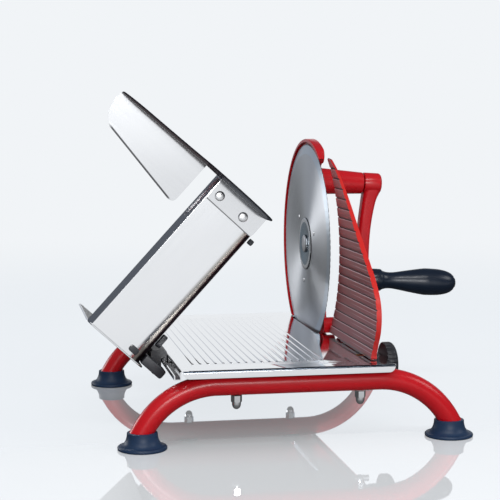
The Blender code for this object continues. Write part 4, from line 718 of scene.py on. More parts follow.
@made_once
def guard_steel(colours):
    """Sheet steel whose side panel is painted in shade: a dark, mostly matt finish tinted maroon above and blue-grey
    below, near black at its edges. A painted shade line runs along the fin's slanting edge, and a painted shadow along
    the tab's left edge.
    """
    sheet = Sheet("brushed_guard_steel")
    grain, cloud = sheet.brushed((1, 1, 0.02), CARRIAGE_PLACE)
    side = sheet.facing(CARRIAGE_PLACE.to_3x3() @ Vector((1, 0, 0)))
    flat = sheet.add("ShaderNodeMath", {0: side}, operation="ABSOLUTE").above(0.8, 0.2)
    x, y, z = sheet.split(sheet.here(CARRIAGE_PLACE))
    depth = WALL_Y - y
    # painted shade: the side panel gets a dark, mostly matt finish in place of the steel
    panel = depth.above(1.9 * MM, 0.5 * MM)
    middle = flat * depth.above(5 * MM, 2 * MM)
    high = z.above(FLOOR_UNDER + 62 * MM, 50 * MM)
    # painted shade, tinted maroon above and blue-grey below, and near black at the panel's edges and bends
    shade_tint = sheet.mix(high, (0.06, 0.068, 0.085), (0.052, 0.028, 0.031))
    dark = sheet.mix(middle, (0.012, 0.012, 0.015), shade_tint)
    # a painted shade line along the fin's slanting edge
    slant = (x - (TRAY_RIGHT - 44.86 * MM)) - (z - FLOOR_UNDER - 70 * MM) * 0.159
    edge = slant.below(1.5 * MM, 0.6 * MM) * z.above(FLOOR_UNDER + 75 * MM, 3 * MM)
    edge = edge * z.below(FLOOR_UNDER + 151 * MM, 6 * MM)
    # a painted shadow along the gap at the tab's left edge
    tab_gap_shadow = x.below(TRAY_RIGHT - 21.2 * MM, 0.4 * MM) * z.below(FLOOR_UNDER + 60 * MM, 4 * MM)
    light = sheet.mix(grain * 0.5 + cloud * 0.5, darker(colours.steel, 0.93), colours.steel)
    light = sheet.mix(edge * 0.9 + tab_gap_shadow * 0.8, light, (0.03, 0.03, 0.035))
    sheet.finish(
        base_color=sheet.mix(panel, light, dark), metallic=1.0, roughness=0.08 + 0.05 * grain,
        normal=sheet.bump(grain, 0.003 * MM, 0.25),
    )
    steel = Wire(sheet, sheet.shader.outputs[0])
    # a dark matt sheet laid over the panel as painted shade
    matt_shade = sheet.add("ShaderNodeBsdfPrincipled", {"Base Color": dark, "Roughness": 0.7, "Specular IOR Level": 0.0})
    sheet.show(sheet.blend(panel * 0.85, steel, matt_shade))
    return sheet.material


@made_once
def plate_steel(colours):
    """Polished sheet, with a painted dark reflection where it bends down in front."""
    sheet = Sheet("polished_plate_steel")
    grain, cloud = sheet.brushed((1, 0.02, 1))
    _, y, _ = sheet.split(sheet.here())
    # painted dark reflection along the front bend
    bent = sheet.facing((0, -0.707, 0.707)).above(0.84, 0.12) * y.below(PLATE_LOW.y + 6 * MM, 1 * MM)
    light = sheet.mix(grain * 0.5 + cloud * 0.5, darker(colours.steel, 0.93), colours.steel)
    return sheet.finish(
        base_color=sheet.mix(bent, light, (0.09, 0.11, 0.14)), metallic=1.0,
        roughness=0.05 + 0.06 * grain + 0.15 * bent, normal=sheet.bump(grain, 0.002 * MM, 0.3),
    )


@made_once
def blade_steel(colours):
    """Steel ground in rings about the axle."""
    sheet = Sheet("ground_blade_steel")
    spot = sheet.here(BLADE_PLACE)
    reach = sheet.reach(spot)
    rim = bpy.context.scene.slicer_blade.diameter / 2
    rings = sheet.noise(sheet.add("ShaderNodeCombineXYZ", {0: reach}), 1600, 3, 0.7)
    broad = sheet.noise(sheet.add("ShaderNodeCombineXYZ", {0: reach}), 120, 2, 0.5)
    cloud = sheet.noise(spot, 26, 3)
    ground = reach.above(rim - 9.4 * MM, 0.6 * MM)
    body = sheet.mix(rings * 0.5 + broad * 0.3 + cloud * 0.2, darker(colours.blade, 0.78), colours.blade)
    edge = sheet.mix(rings, (0.4, 0.46, 0.52), (0.55, 0.6, 0.66))
    # painted dark reflection: the outermost millimetre of the cutting edge is darkened
    edge = sheet.mix(reach.above(rim - 1.1 * MM, 0.4 * MM), edge, (0.1, 0.11, 0.13))
    return sheet.finish(
        base_color=sheet.mix(ground, body, edge), metallic=1.0, roughness=0.36 + 0.08 * cloud - 0.1 * ground,
        anisotropic=0.85, anisotropic_rotation=0.25,
        tangent=sheet.add("ShaderNodeTangent", direction_type="RADIAL", axis="X"),
        normal=sheet.bump(rings, 0.004 * MM, 0.4),
    )


@made_once
def hub_steel(colours):
    """Painted shade darkens the dish inside a bright ring, and painted shade makes the groove round it black."""
    sheet = Sheet("polished_hub_steel")
    spot = sheet.here(BLADE_PLACE)
    cloud = sheet.noise(spot, 50, 2)
    reach = sheet.reach(spot)
    rim = bpy.context.scene.slicer_blade.hub / 2
    # painted shade over the dish
    dish = sheet.mix(cloud, (0.08, 0.13, 0.18), (0.16, 0.23, 0.29))
    tone = sheet.mix(cloud, darker(colours.blade, 0.8), colours.blade)
    tone = sheet.mix(reach.below(rim - 4.4 * MM, 0.8 * MM), tone, dish)
    # painted shade: the groove round the hub is black
    tone = sheet.mix(reach.above(rim - 0.5 * MM, 0.5 * MM), tone, (0.02, 0.022, 0.026))
    return sheet.finish(base_color=tone, metallic=1.0, roughness=0.22 + 0.08 * cloud)


# Stand

CORNERS = [(end, side) for end in ("front", "rear") for side in ("left", "right")]
TUBE_LEAN = radians(60)
TUBE_END = 9.5 * MM


def middle_of(node):
    low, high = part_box(node)
    return (low + high) / 2


def bow_path(stand, axis_z, middle):
    """Middle line of a bow from its left end to its right end."""
    half = arc((stand.straight / 2, axis_z - stand.bend), stand.bend, pi / 2, pi / 2 - TUBE_LEAN, 24)
    half.append((half[-1][0] + (half[-1][1] - TUBE_END) / tan(TUBE_LEAN), TUBE_END))
    return [(middle.x + x, middle.y, z) for x, z in [(-x, z) for x, z in reversed(half)] + half]


class SLICER_OT_stand(bpy.types.Operator):
    """Bend the two tube bows"""

    bl_idname = "slicer.stand"
    bl_label = "Tube Stand"

    def execute(self, context):
        stand = context.scene.slicer_stand
        middle = middle_of("front_bow")
        draw("front_bow_tube", bow_path(stand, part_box("front_bow")[1].z - stand.tube / 2, middle))
        mode("OBJECT")
        bpy.ops.object.convert(target="CURVE")
        line = bpy.context.object.data
        line.bevel_depth = stand.tube / 2
        line.bevel_resolution = 10
        line.use_fill_caps = True
        bpy.ops.object.convert(target="MESH")
        bow = bpy.context.object
        tidy_mesh()
        rear = copy_of(bow, "rear_bow_tube", middle_of("rear_bow") - middle)
        dress(bow, 32, "stand", red_coat, "red_powder_coat", "front_bow")
        dress(rear, 32, "stand", red_coat, "red_powder_coat", "rear_bow")
        refinish(black_plastic, *[f"{end}_{side}_saddle" for end, side in CORNERS])
        return {"FINISHED"}


class SLICER_OT_feet(bpy.types.Operator):
    """Turn the rubber feet and sink the tube's socket in each"""

    bl_idname = "slicer.feet"
    bl_label = "Rubber Feet"

    def execute(self, context):
        stand = context.scene.slicer_stand
        skirt = stand.foot / 2
        neck = stand.neck / 2
        cup = 13.5 * MM
        top = 14 * MM
        flat = 2.7 * MM
        flare = top - 3.6 * MM
        profile = [
            (2.2 * MM, 0), (2.0 * MM, cup * 0.5), (0.6 * MM, cup * 0.94), (0, cup), (0, skirt - 0.6 * MM),
            (0.3 * MM, skirt - 0.2 * MM), (1.0 * MM, skirt), (2.0 * MM, skirt - 0.05 * MM), (flat, skirt - 0.7 * MM),
        ]
        shoulder = skirt - 0.8 * MM
        profile += arc((flat + flare, shoulder), (-flare, neck - shoulder), 0, pi / 2, 14)[1:]
        profile += [(top - 0.35 * MM, neck - 0.05 * MM), (top, neck - 0.5 * MM), (top, 0)]
        feet = []
        for side, sign in (("left", -1), ("right", 1)):
            middle = middle_of("foot_front_" + side)
            foot = turn_up("foot_rubber_front_" + side, profile, "Z", (middle.x, middle.y, 0))
            plug = rod("plug", "Z", -4 * MM, 20 * MM, stand.tube / 2 + SEAT_GAP)
            end_x = middle.x + sign * (top - TUBE_END) / tan(TUBE_LEAN)
            lean = Matrix.Rotation(sign * (TUBE_LEAN - pi / 2), 4, "Y")
            cut(foot, seat(plug, Matrix.Translation((end_x, middle.y, TUBE_END)) @ lean))
            feet.append(foot)
        back = middle_of("foot_rear_left") - middle_of("foot_front_left")
        feet += [copy_of(foot, foot.name.replace("front", "rear"), back) for foot in feet]
        for foot, (end, side) in zip(feet, CORNERS):
            dress(foot, 40, "stand", foot_rubber, "navy_rubber", f"foot_{end}_{side}")
        return {"FINISHED"}


class SLICER_OT_nuts(bpy.types.Operator):
    """Domed hexagon nuts under the bows"""

    bl_idname = "slicer.nuts"
    bl_label = "Domed Nuts"

    def execute(self, context):
        flats = context.scene.slicer_stand.nut / 2
        corner = flats / cos(pi / 6)
        low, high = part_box("front_left_nut")
        middle = (low + high) / 2
        centre = (middle.x, middle.y, 0)
        base = high.z - 5.5 * MM
        straight = 1.6 * MM
        hexagon = [(middle.x + corner * cos(pi / 3 * k), middle.y + corner * sin(pi / 3 * k)) for k in range(6)]
        nut = slab("front_left_nut_hexagon", hexagon, "Z", base, high.z)
        wide = corner + 0.1 * MM
        chamfer = [
            (base - CUT, 0), (base - CUT, corner * 0.7), (base, flats + 0.05 * MM), (base + 0.55 * MM, wide),
            (high.z + CUT, wide), (high.z + CUT, 0),
        ]
        cut(nut, turn_up("chamfer", chamfer, "Z", centre, 48), "INTERSECT")
        dome = flats - SEAT_GAP
        cap = [(base + 1 * MM, 0), (base + 1 * MM, dome)]
        cap += arc((base - straight, 0), (low.z - base + straight, dome), pi / 2, 0, 10)
        cut(nut, turn_up("cap", cap, "Z", centre, 48), "UNION")
        close_up(nut)
        nodes = [f"{end}_{side}_nut" for end, side in CORNERS]
        nuts = [nut] + [copy_of(nut, node + "_hexagon", middle_of(node) - middle) for node in nodes[1:]]
        for piece, node in zip(nuts, nodes):
            dress(piece, 25, "stand", bright_steel, "chrome", node)
        return {"FINISHED"}


# Plate


def rib_bars(plate, x_first, y0, y1):
    """One embossed rib with sloping ends, and its copies across the plate."""
    half = plate.rib_width / 2
    height = plate.rib_height
    radius = (half * half + height * height) / 2 / height
    spread = asin(half / radius)
    crown = [(radius * sin(spread * k / 5), radius * cos(spread * k / 5) - radius + height) for k in range(-5, 6)]
    root = PLATE_TOP - 0.4 * MM
    slopes = ((0, 0.04), (1.2 * MM, 0.6), (3 * MM, 1.0))
    sections = []
    for y, share in [(y0 + run, share) for run, share in slopes] + [(y1 - run, share) for run, share in slopes[::-1]]:
        ring = [(x_first + x * (0.6 + 0.4 * share), y, PLATE_TOP + z * share) for x, z in crown]
        sections.append(ring + [(x_first + half * 0.6, y, root), (x_first - half * 0.6, y, root)])
    bar = loft("rib", sections)
    change(
        bar, "ARRAY", count=plate.ribs, use_relative_offset=False, use_constant_offset=True,
        constant_offset_displace=(-plate.rib_pitch, 0, 0),
    )
    return bar


class SLICER_OT_plate(bpy.types.Operator):
    """Fold the ribbed plate with its rims and the carriage's channel"""

    bl_idname = "slicer.plate"
    bl_label = "Base Plate"

    def execute(self, context):
        sizes = context.scene.slicer_plate
        sheet = sizes.sheet
        x0 = PLATE_LOW.x - AXLE.x + 2 * sheet + 4 * MM
        x1 = PLATE_HIGH.x - AXLE.x
        y0 = PLATE_LOW.y - AXLE.y
        y1 = PLATE_HIGH.y - AXLE.y
        top = PLATE_TOP
        low = top - sizes.rim
        bend = 2.2 * MM
        front = (y0 + bend, top - bend)
        back = (y1 - bend, top - bend)
        folded = [(y0, low)] + arc(front, bend, pi, pi / 2, 20) + arc(back, bend, pi / 2, 0, 20)
        folded += [(y1, low), (y1 - sheet, low)] + arc(back, bend - sheet, 0, pi / 2, 20)
        folded += arc(front, bend - sheet, pi / 2, pi, 20) + [(y0 + sheet, low)]
        left = x0 + 1.5 * MM
        right = x1 - 1.2 * MM
        corner = 5 * MM
        plate = slab("ribbed_plate", folded, "X", left, right)
        face = [(left, top + CUT)] + arc((x0 + 6.5 * MM, low + corner), corner, pi, 1.5 * pi, 10)
        face += arc((x1 - 6.2 * MM, low + corner), corner, 1.5 * pi, 2 * pi, 10) + [(right, top + CUT)]
        cut(plate, slab("trim", face, "Y", y0 - CUT, y1 + CUT), "INTERSECT")
        cut(plate, self.channel(x0, y0, y1, sheet), "UNION")
        cut(plate, self.right_rim(x1, y0, y1, sheet), "UNION")
        cut(plate, rib_bars(sizes, x1 - 55.6 * MM, y0 + 29 * MM, y1 - 26 * MM), "UNION")
        blade = context.scene.slicer_blade
        half = sqrt((blade.diameter / 2) ** 2 - (AXLE.z - PLATE_TOP) ** 2) + 3.5 * MM
        tab = 5.5 * MM
        for outline in (
            rounded_box(-2.4 * MM, blade.thickness + 2 * MM, -half, half, 1.6 * MM),
            rounded_box(4.9 * MM, 25 * MM, KNOB_Y - tab, KNOB_Y + tab, 1.2 * MM),
        ):
            cut(plate, slab("slot", outline, "Z", PLATE_TOP - 3 * MM, PLATE_TOP + CUT))
        close_up(plate)
        seat(plate, BENCH)
        dress(plate, 24, "stand", plate_steel, "polished_stainless", "base_plate")
        return {"FINISHED"}

    def channel(self, x0, y0, y1, sheet):
        """The folded channel along the left side, where the carriage slides."""
        top = PLATE_TOP
        low = CHANNEL_LOW
        lip = x0 - sheet - 4 * MM
        ease = 0.4 * MM
        section = [(x0 + 6 * MM, top - sheet), (x0 + 6 * MM, top)]
        section += arc((x0 + 0.5 * MM, top - 1.5 * MM), 1.5 * MM, pi / 2, pi, 6)
        section += [
            (x0 - sheet, low + sheet), (lip, low + sheet), (lip, low + 4 * MM), (lip - sheet, low + 4 * MM),
            (lip - sheet, low + 0.6 * MM), (lip - ease, low), (x0 - ease, low), (x0, low + ease),
            (x0, top - 1.9 * MM), (x0 + 0.5 * MM, top - sheet),
        ]
        return slab("channel", section, "Y", y0 + 1.2 * MM, y1 - 1.2 * MM)

    def right_rim(self, x1, y0, y1, sheet):
        """The low rim on the right, with the ear that the setting screw passes."""
        top = PLATE_TOP
        bend = 1.6 * MM
        corner = (x1 - bend, top - bend)
        deep = top - 20 * MM
        fold = [(x1 - 5 * MM, top)] + arc(corner, bend, pi / 2, 0, 6) + [(x1, deep), (x1 - sheet, deep)]
        fold += arc(corner, bend - sheet, 0, pi / 2, 6) + [(x1 - 5 * MM, top - sheet)]
        front = y0 + 2.5 * MM
        back = y1 - 2.5 * MM
        rim = slab("rim", fold, "Y", front, back)
        low = top - 4.8 * MM
        ear = 9 * MM
        side = [(front, top + CUT)] + arc((y0 + 6.5 * MM, low + 4 * MM), 4 * MM, pi, 1.5 * pi, 8)
        side += [(KNOB_Y - ear, low)] + arc((KNOB_Y, SCREW.z), ear, pi, 2 * pi, 20) + [(KNOB_Y + ear, low)]
        side += arc((y1 - 6.5 * MM, low + 4 * MM), 4 * MM, 1.5 * pi, 2 * pi, 8) + [(back, top + CUT)]
        cut(rim, slab("trim", side, "X", x1 - 8 * MM, x1 + CUT), "INTERSECT")
        cut(rim, rod("bore", "X", x1 - 8 * MM, x1 + CUT, 4.4 * MM, (0, KNOB_Y, SCREW.z)))
        return rim


# Blade


class SLICER_OT_blade(bpy.types.Operator):
    """Grind the wavy blade, its dished hub cap and its flush rivets"""

    bl_idname = "slicer.blade"
    bl_label = "Blade"

    def execute(self, context):
        sizes = context.scene.slicer_blade
        rim = sizes.diameter / 2
        drop_all()
        bpy.ops.mesh.primitive_circle_add(
            vertices=sizes.waves * 8, radius=rim, fill_type="NGON", location=(sizes.thickness, 0, 0),
            rotation=(0, pi / 2, 0),
        )
        blade = bpy.context.object
        blade.name = "ground_blade"
        bpy.ops.object.transform_apply(location=True, rotation=True, scale=True)
        self.draw_in(blade, lambda turn: rim - sizes.wave_depth * (1 - abs(sin(turn * sizes.waves / 2))))
        take_all()
        push((-0.15 * MM, 0, 0))
        for share, depth in ((0.35, 0.42 * MM), (1.0, 0.63 * MM)):
            push((-depth, 0, 0))
            mode("OBJECT")
            self.draw_in(blade, lambda turn: rim - sizes.bevel * share)
            mode("EDIT")
        bpy.ops.mesh.inset(thickness=0.35 * MM, depth=-0.06 * MM)
        bpy.ops.mesh.inset(thickness=20 * MM, depth=0)
        tidy_mesh()
        cut(blade, rod("bore", "X", -CUT, 3 * MM, 6 * MM, steps=64))
        seat(blade, BLADE_PLACE)
        dress(blade, 20, "blade_set", blade_steel, "ground_blade_steel", "blade")
        self.add_hub(sizes.hub / 2)
        self.add_rivets()
        refinish(gear_nylon, "blade_gear")
        return {"FINISHED"}

    def draw_in(self, blade, radius):
        """Move the selected corners to a radius from the axle, which may change on the way round."""
        for vertex in blade.data.vertices:
            if vertex.select:
                turn = atan2(vertex.co.z, vertex.co.y)
                vertex.co.yz = Vector((cos(turn), sin(turn))) * radius(turn)

    def add_hub(self, hub):
        rise = -1.2 * MM
        wide = hub + 0.5 * MM
        profile = [(0.2 * MM, 0), (0.2 * MM, wide), (-0.1 * MM, wide), (0.05 * MM, hub), (rise * 0.5, hub - 0.35 * MM)]
        for k in range(5):
            profile.append((rise * (0.85 + 0.15 * sin(pi / 2 * k / 4)), hub - 0.6 * MM - 1.5 * MM * k / 4))
        dish = hub - 4.6 * MM
        for k in range(9):
            share = 1 - k / 8
            profile.append((rise + 1.15 * MM * (1 - share ** 2), dish * share))
        cap = seat(turn_up("hub_cap", profile, steps=96), BLADE_PLACE)
        dress(cap, 40, "blade_set", hub_steel, "ground_blade_steel")

    def add_rivets(self):
        """Three flush rivets round the hub, turned once and copied."""
        head = in_mm((0.1, 0), (0.1, 2.3), (-0.1, 2.2), (-0.35, 1.6), (-0.45, 0.8), (-0.48, 0))
        circle = 36.5 * MM
        places = [Vector((0, circle * cos(turn), circle * sin(turn))) for turn in map(radians, (40, 160, 280))]
        first = seat(turn_up("flush_rivet_1", head, "X", places[0], 24), BLADE_PLACE)
        rivets = [first] + [copy_of(first, f"flush_rivet_{k + 1}", places[k] - places[0]) for k in (1, 2)]
        for number, rivet in enumerate(rivets, 1):
            dress(rivet, 50, "blade_set", bright_steel, "ground_blade_steel", f"blade_rivet_{number}")


# Casting


def pear(big, small, distance, start):
    """Outline round the gear and the pinion above it."""
    side = asin((big - small) / distance)
    points = arc((0, 0), big, start, side, 32) + arc((0, distance), small, side, pi - side, 28)
    return points + arc((0, 0), big, pi - side, pi - start, 32)


class SLICER_OT_casting(bpy.types.Operator):
    """Cast the red housing with its hooked rim, crank sleeve and guide post"""

    bl_idname = "slicer.casting"
    bl_label = "Gear Housing"

    def execute(self, context):
        sizes = context.scene.slicer_casting
        foot = PLATE_TOP - AXLE.z + SEAT_GAP
        distance = CRANK.z - AXLE.z
        gear = 49 * MM
        pinion = 19 * MM
        wall = 4 * MM
        outline = self.rim_outline(sizes, foot, distance, gear + wall, pinion)
        body = slab("housing_casting", outline, "X", -0.4 * MM, sizes.rim_back)
        round_edges(body, 1.0 * MM, 3, 50)
        lip_start = pi / 2 + 0.27
        lip_end = pi / 2 + radians(33.5)
        lip = arc((0, 0), sizes.radius - 0.2 * MM, lip_start, lip_end, 12)
        lip += arc((0, 0), sizes.pocket - 1 * MM, lip_end - 0.03, lip_start, 12)
        cut(body, slab("lip", lip, "X", -0.35 * MM, 4 * MM), "UNION")
        back = pear(gear + wall, pinion + wall, distance, -pi * 0.35)
        back += [(-0.62 * (gear + wall), foot), (0.62 * (gear + wall), foot)]
        bulge = slab("bulge", back, "X", sizes.rim_back - 5 * MM, sizes.back)
        round_edges(bulge, 2.4 * MM, 5, 50)
        cut(body, bulge, "UNION")
        post = (0, -58.5 * MM, foot + 7.9 * MM)
        profile = in_mm((2.8, 0), (2.8, 7.2), (13.2, 7.2), (13.8, 6.9), (14, 6.2), (14, 0))
        cut(body, turn_up("post", profile, "X", post, 48), "UNION")
        pinion_x = CRANK.x - AXLE.x
        start = sizes.back - pinion_x - 1.5 * MM
        end = sizes.sleeve_end - pinion_x
        slim = sizes.sleeve / 2
        flare = 3.4 * MM
        wide = slim + 2.2 * MM + flare
        sleeve = [(start, 0), (start, wide)] + arc((start + 5 * MM, wide), (-5 * MM, -flare), 0, pi / 2, 8)[1:]
        sleeve += [(end - 1 * MM, slim), (end - 0.4 * MM, slim - 0.15 * MM), (end, slim - 0.7 * MM), (end, 0)]
        lowered = BLADE_PLACE.inverted() @ CRANK_PLACE
        cut(body, seat(turn_up("sleeve", sleeve), lowered), "UNION")
        cut(body, rod("pocket", "X", -3 * MM, 2.4 * MM, sizes.pocket, steps=180))
        cut(body, slab("room", pear(gear, pinion, distance, -pi / 2)[:-1], "X", 0, 9.4 * MM))
        cut(body, seat(rod("bore", "X", 0, end + CUT, 6.3 * MM), lowered))
        cut(body, rod("bore", "X", 0, sizes.back + CUT, 4.3 * MM))
        cut(body, rod("bore", "X", 5.2 * MM, 14 * MM + CUT, 3.3 * MM, post))
        seat(body, BLADE_PLACE)
        dress(body, 35, "stand", red_coat, "red_powder_coat", "gear_housing")
        refinish(bush_bronze, "inner_bush", "outer_bush", "follower_nut")
        refinish(turned_steel, "blade_axle", "pinion", "crank_axle", "setting_screw", "hinge_pin")
        refinish(bright_steel, "guide_rod", "screw_bracket", "handle_washer", "housing_screw_1", "housing_screw_2")
        return {"FINISHED"}

    def rim_outline(self, sizes, foot, distance, bulge, pinion):
        """Outline of the rim, with its hook over the blade's top."""
        curl = 7.5 * MM
        tip = sizes.radius - curl
        top = pi / 2 + radians(22.5)
        points = arc((0, 0), sizes.radius, asin(foot / sizes.radius), top - 0.075, 110)
        points += arc((tip * cos(top), tip * sin(top)), curl, top, top + pi * 0.95, 20)
        points.append((-pinion - 3 * MM, distance + pinion * 0.5))
        points += arc((0, 0), bulge, pi * 0.68, pi * 1.18, 40)
        return points + [(-53.5 * MM, foot + 14 * MM), (-55.5 * MM, foot)]


# Crank


class SLICER_OT_crank(bpy.types.Operator):
    """Shape the gooseneck crank with its hub and eye, and its turned handle"""

    bl_idname = "slicer.crank"
    bl_label = "Crank"

    def execute(self, context):
        sizes = context.scene.slicer_crank
        start = context.scene.slicer_casting.sleeve_end - (CRANK.x - AXLE.x) + 1.2 * MM
        middle = start + sizes.hub_length / 2
        low = middle - 5 * MM
        eye_x = middle - 2.3 * MM
        thick = 11.5 * MM
        stations = [
            (middle, -2 * MM, 16.5 * MM, 17 * MM), (middle, 6 * MM, 16 * MM, 17 * MM),
            (middle - 2.4 * MM, 17 * MM, 13 * MM, 15 * MM), (low + 0.6 * MM, 37 * MM, thick, 14 * MM),
            (low, 57 * MM, thick, 13 * MM), (low + 0.8 * MM, 76 * MM, thick, 13 * MM),
            (eye_x, sizes.radius + 2 * MM, thick * 0.95, 15 * MM),
        ]
        sections = []
        for x, fall, deep, wide in smooth_line(stations, 6):
            ring = rounded_box(-deep / 2, deep / 2, -wide / 2, wide / 2, min(deep, wide) * 0.28, 5)
            sections.append([(x + a, b, -fall) for a, b in ring])
        arm = loft("gooseneck_crank", sections)
        end = start + sizes.hub_length
        hub = sizes.hub / 2
        profile = [(start, 0), (start, hub - 0.6 * MM), (start + 0.2 * MM, hub - 0.15 * MM), (start + 0.6 * MM, hub)]
        profile += arc((end - 3.2 * MM, hub - 3.4 * MM), (3.2 * MM, 3.4 * MM), pi / 2, 0, 8) + [(end, 0)]
        cut(arm, turn_up("hub", profile), "UNION")
        eye = sizes.eye / 2
        x0 = eye_x - thick / 2
        x1 = eye_x + thick / 2
        half = [(0, eye - 1.4 * MM), (0.4 * MM, eye - 0.4 * MM), (1.4 * MM, eye)]
        profile = [(x0, 0)] + [(x0 + a, b) for a, b in half] + [(x1 - a, b) for a, b in half[::-1]] + [(x1, 0)]
        below = (0, 0, -sizes.radius)
        cut(arm, rod("seat", "X", x0 - 2 * CUT, x0 + 1 * MM, 9.4 * MM, below))
        cut(arm, turn_up("eye", profile, "X", below, 64), "UNION")
        cut(arm, rod("bore", "X", start - CUT, end - 2.6 * MM, 4.3 * MM))
        cut(arm, rod("bore", "X", x0 - CUT, x1 + CUT, 3.3 * MM, below))
        seat(arm, CRANK_PLACE)
        dress(arm, 40, "crank", red_coat, "red_powder_coat", "crank_arm")
        handle = x1 + 2 * MM
        self.add_handle(sizes, handle, below)
        self.add_spindle(x0 - SEAT_GAP, handle + sizes.grip + SEAT_GAP, below)
        return {"FINISHED"}

    def add_handle(self, sizes, start, below):
        span = sizes.grip
        end = start + span
        collar = sizes.collar / 2
        neck = sizes.neck / 2
        belly = sizes.belly / 2
        bore = 3.4 * MM
        stations = [
            (0.125, collar - 1.2 * MM), (0.15, neck + 0.8 * MM), (0.2, neck), (0.28, neck + 0.3 * MM),
            (0.45, belly - 2.4 * MM), (0.62, belly - 0.2 * MM), (0.7, belly), (0.8, belly - 0.3 * MM),
            (0.89, belly - 1.5 * MM), (0.95, belly - 3.4 * MM), (0.985, belly - 5.6 * MM),
        ]
        profile = [
            (start, bore), (start, collar - 1.2 * MM), (start + 0.35 * MM, collar - 0.35 * MM),
            (start + 1.2 * MM, collar), (start + span * 0.1, collar), (start + span * 0.115, collar - 0.35 * MM),
        ]
        profile += [(start + span * share, radius) for share, radius in smooth_line(stations, 6)]
        profile += [(end, belly - 7.6 * MM), (end, bore)]
        grip = seat(turn_up("turned_handle", profile, "X", below, 80, ring=True), CRANK_PLACE)
        dress(grip, 50, "handle", handle_black, "black_handle", "handle_grip")

    def add_spindle(self, start, end, below):
        """The spindle that the handle turns on, riveted over at both ends."""
        head = 5 * MM
        radius = 3 * MM
        back = start + SEAT_GAP - 1.4 * MM
        profile = [(back, 0), (back, head - 0.5 * MM), (back + 0.3 * MM, head - 0.1 * MM), (start, head)]
        profile += [(start, radius), (end, radius), (end, head)]
        profile += arc((end, 0), (1.4 * MM, head), pi / 2, 0, 8)[1:]
        spindle = seat(turn_up("spindle_rivet", profile, "X", below, 40), CRANK_PLACE)
        dress(spindle, 40, "crank", bright_steel, "chrome", "handle_spindle")


# Stop plate and its setting


def stop_outline(inset=0.0):
    """Sail-shaped outline seen along the blade's axle, from the blade's centre."""
    near = smooth_line(
        in_mm(
            (-68, 83), (-94, 70), (-124, 48), (-152, 24.5), (-180, 3.5), (-199, -11), (-212.3, -25), (-217, -38),
            (-215.2, -52), (-208, -65), (-202, -75.3),
        ),
        8,
    )
    radius = 101.5 * MM
    bottom = PLATE_TOP - AXLE.z + 3 * MM
    low = bottom + inset
    high = pi - asin((84 * MM - 4 * inset) / radius)
    far = arc((0, 0), radius + inset, high, pi + asin(-bottom / radius), 60)
    ceiling = far[0][1] - 2 * inset
    moved = []
    for before, here, after in zip(near, near[1:], near[2:]):
        along = (Vector(after) - Vector(before)).normalized()
        spot = (here[0] - along.y * inset, here[1] + along.x * inset)
        if spot[1] > low and (spot[1] < ceiling or not inset):
            moved.append(spot)
    far = [spot for spot in far if spot[1] > low]
    tip = [] if inset else [near[0]]
    return far + [(far[-1][0], low), (moved[-1][0], low)] + moved[::-1] + tip


class SLICER_OT_stop(bpy.types.Operator):
    """Cast the ribbed stop plate with its tab"""

    bl_idname = "slicer.stop"
    bl_label = "Stop Plate"

    def execute(self, context):
        sizes = context.scene.slicer_stop
        outline = stop_outline()
        front = min(point[0] for point in outline)
        back = max(point[0] for point in outline)
        face_out = sizes.thickness + CUT
        low = 3 * MM - (AXLE.z - PLATE_TOP)
        plate = slab("ribbed_stop", self.comb(sizes, low), "Y", front - CUT, back + CUT)
        cut(plate, slab("sail", outline, "X", -CUT, face_out), "INTERSECT")
        cut(plate, slab("hollow", stop_outline(3 * MM), "X", 2.6 * MM, face_out))
        thin = [(sizes.thickness, 20 * MM), (face_out, 20 * MM), (face_out, 90 * MM), (1.8 * MM, 90 * MM)]
        cut(plate, slab("taper", thin, "Y", front - 2 * CUT, back + 2 * CUT))
        foot = rounded_box(-199 * MM, -104 * MM, low - 2.1 * MM, low + 1.2 * MM, 0.4 * MM)
        cut(plate, slab("foot", foot, "X", 0.9 * MM, 6 * MM), "UNION")
        seat(
            plate,
            Matrix.Translation((SLICE_AT_REST, STOP_PIVOT_Y, AXLE.z)) @ Matrix.Rotation(STOP_TOE, 4, "Z")
            @ Matrix.Translation((0, -STOP_PIVOT_Y, 0)),
        )
        x0 = SLICE_AT_REST + (STOP_PIVOT_Y - KNOB_Y) * tan(TAB_TOE) + 0.9 * MM
        x1 = x0 + 3.5 * MM
        half = 4.5 * MM
        tab = rounded_box(KNOB_Y - half, KNOB_Y + half, SCREW.z - 3 * MM, PLATE_TOP + 17 * MM, 1 * MM)
        cut(plate, slab("tab", tab, "X", x0, x1), "UNION")
        cut(plate, rod("bore", "X", x0 - CUT, x1 + CUT, 4.4 * MM, (0, KNOB_Y, SCREW.z)))
        seat(plate, BENCH)
        dress(plate, 30, "stop", stop_coat, "red_powder_coat", "stop_plate")
        refinish(red_coat, "slide_arm")
        return {"FINISHED"}

    def comb(self, sizes, low):
        """Section of the ribbed face: flat bars between V grooves."""
        pitch = sizes.rib_pitch
        edge = 0.1 * MM
        points = []
        z = low - pitch
        while z < 90 * MM:
            for depth, share in (
                (edge, 0), (0, 0.04), (0, 0.8), (edge, 0.84), (sizes.rib_depth, 0.91), (sizes.rib_depth, 0.94),
            ):
                points.append((depth, z + pitch * share))
            z += pitch
        points += [(sizes.thickness, z), (sizes.thickness, points[0][1])]
        return points[::-1]


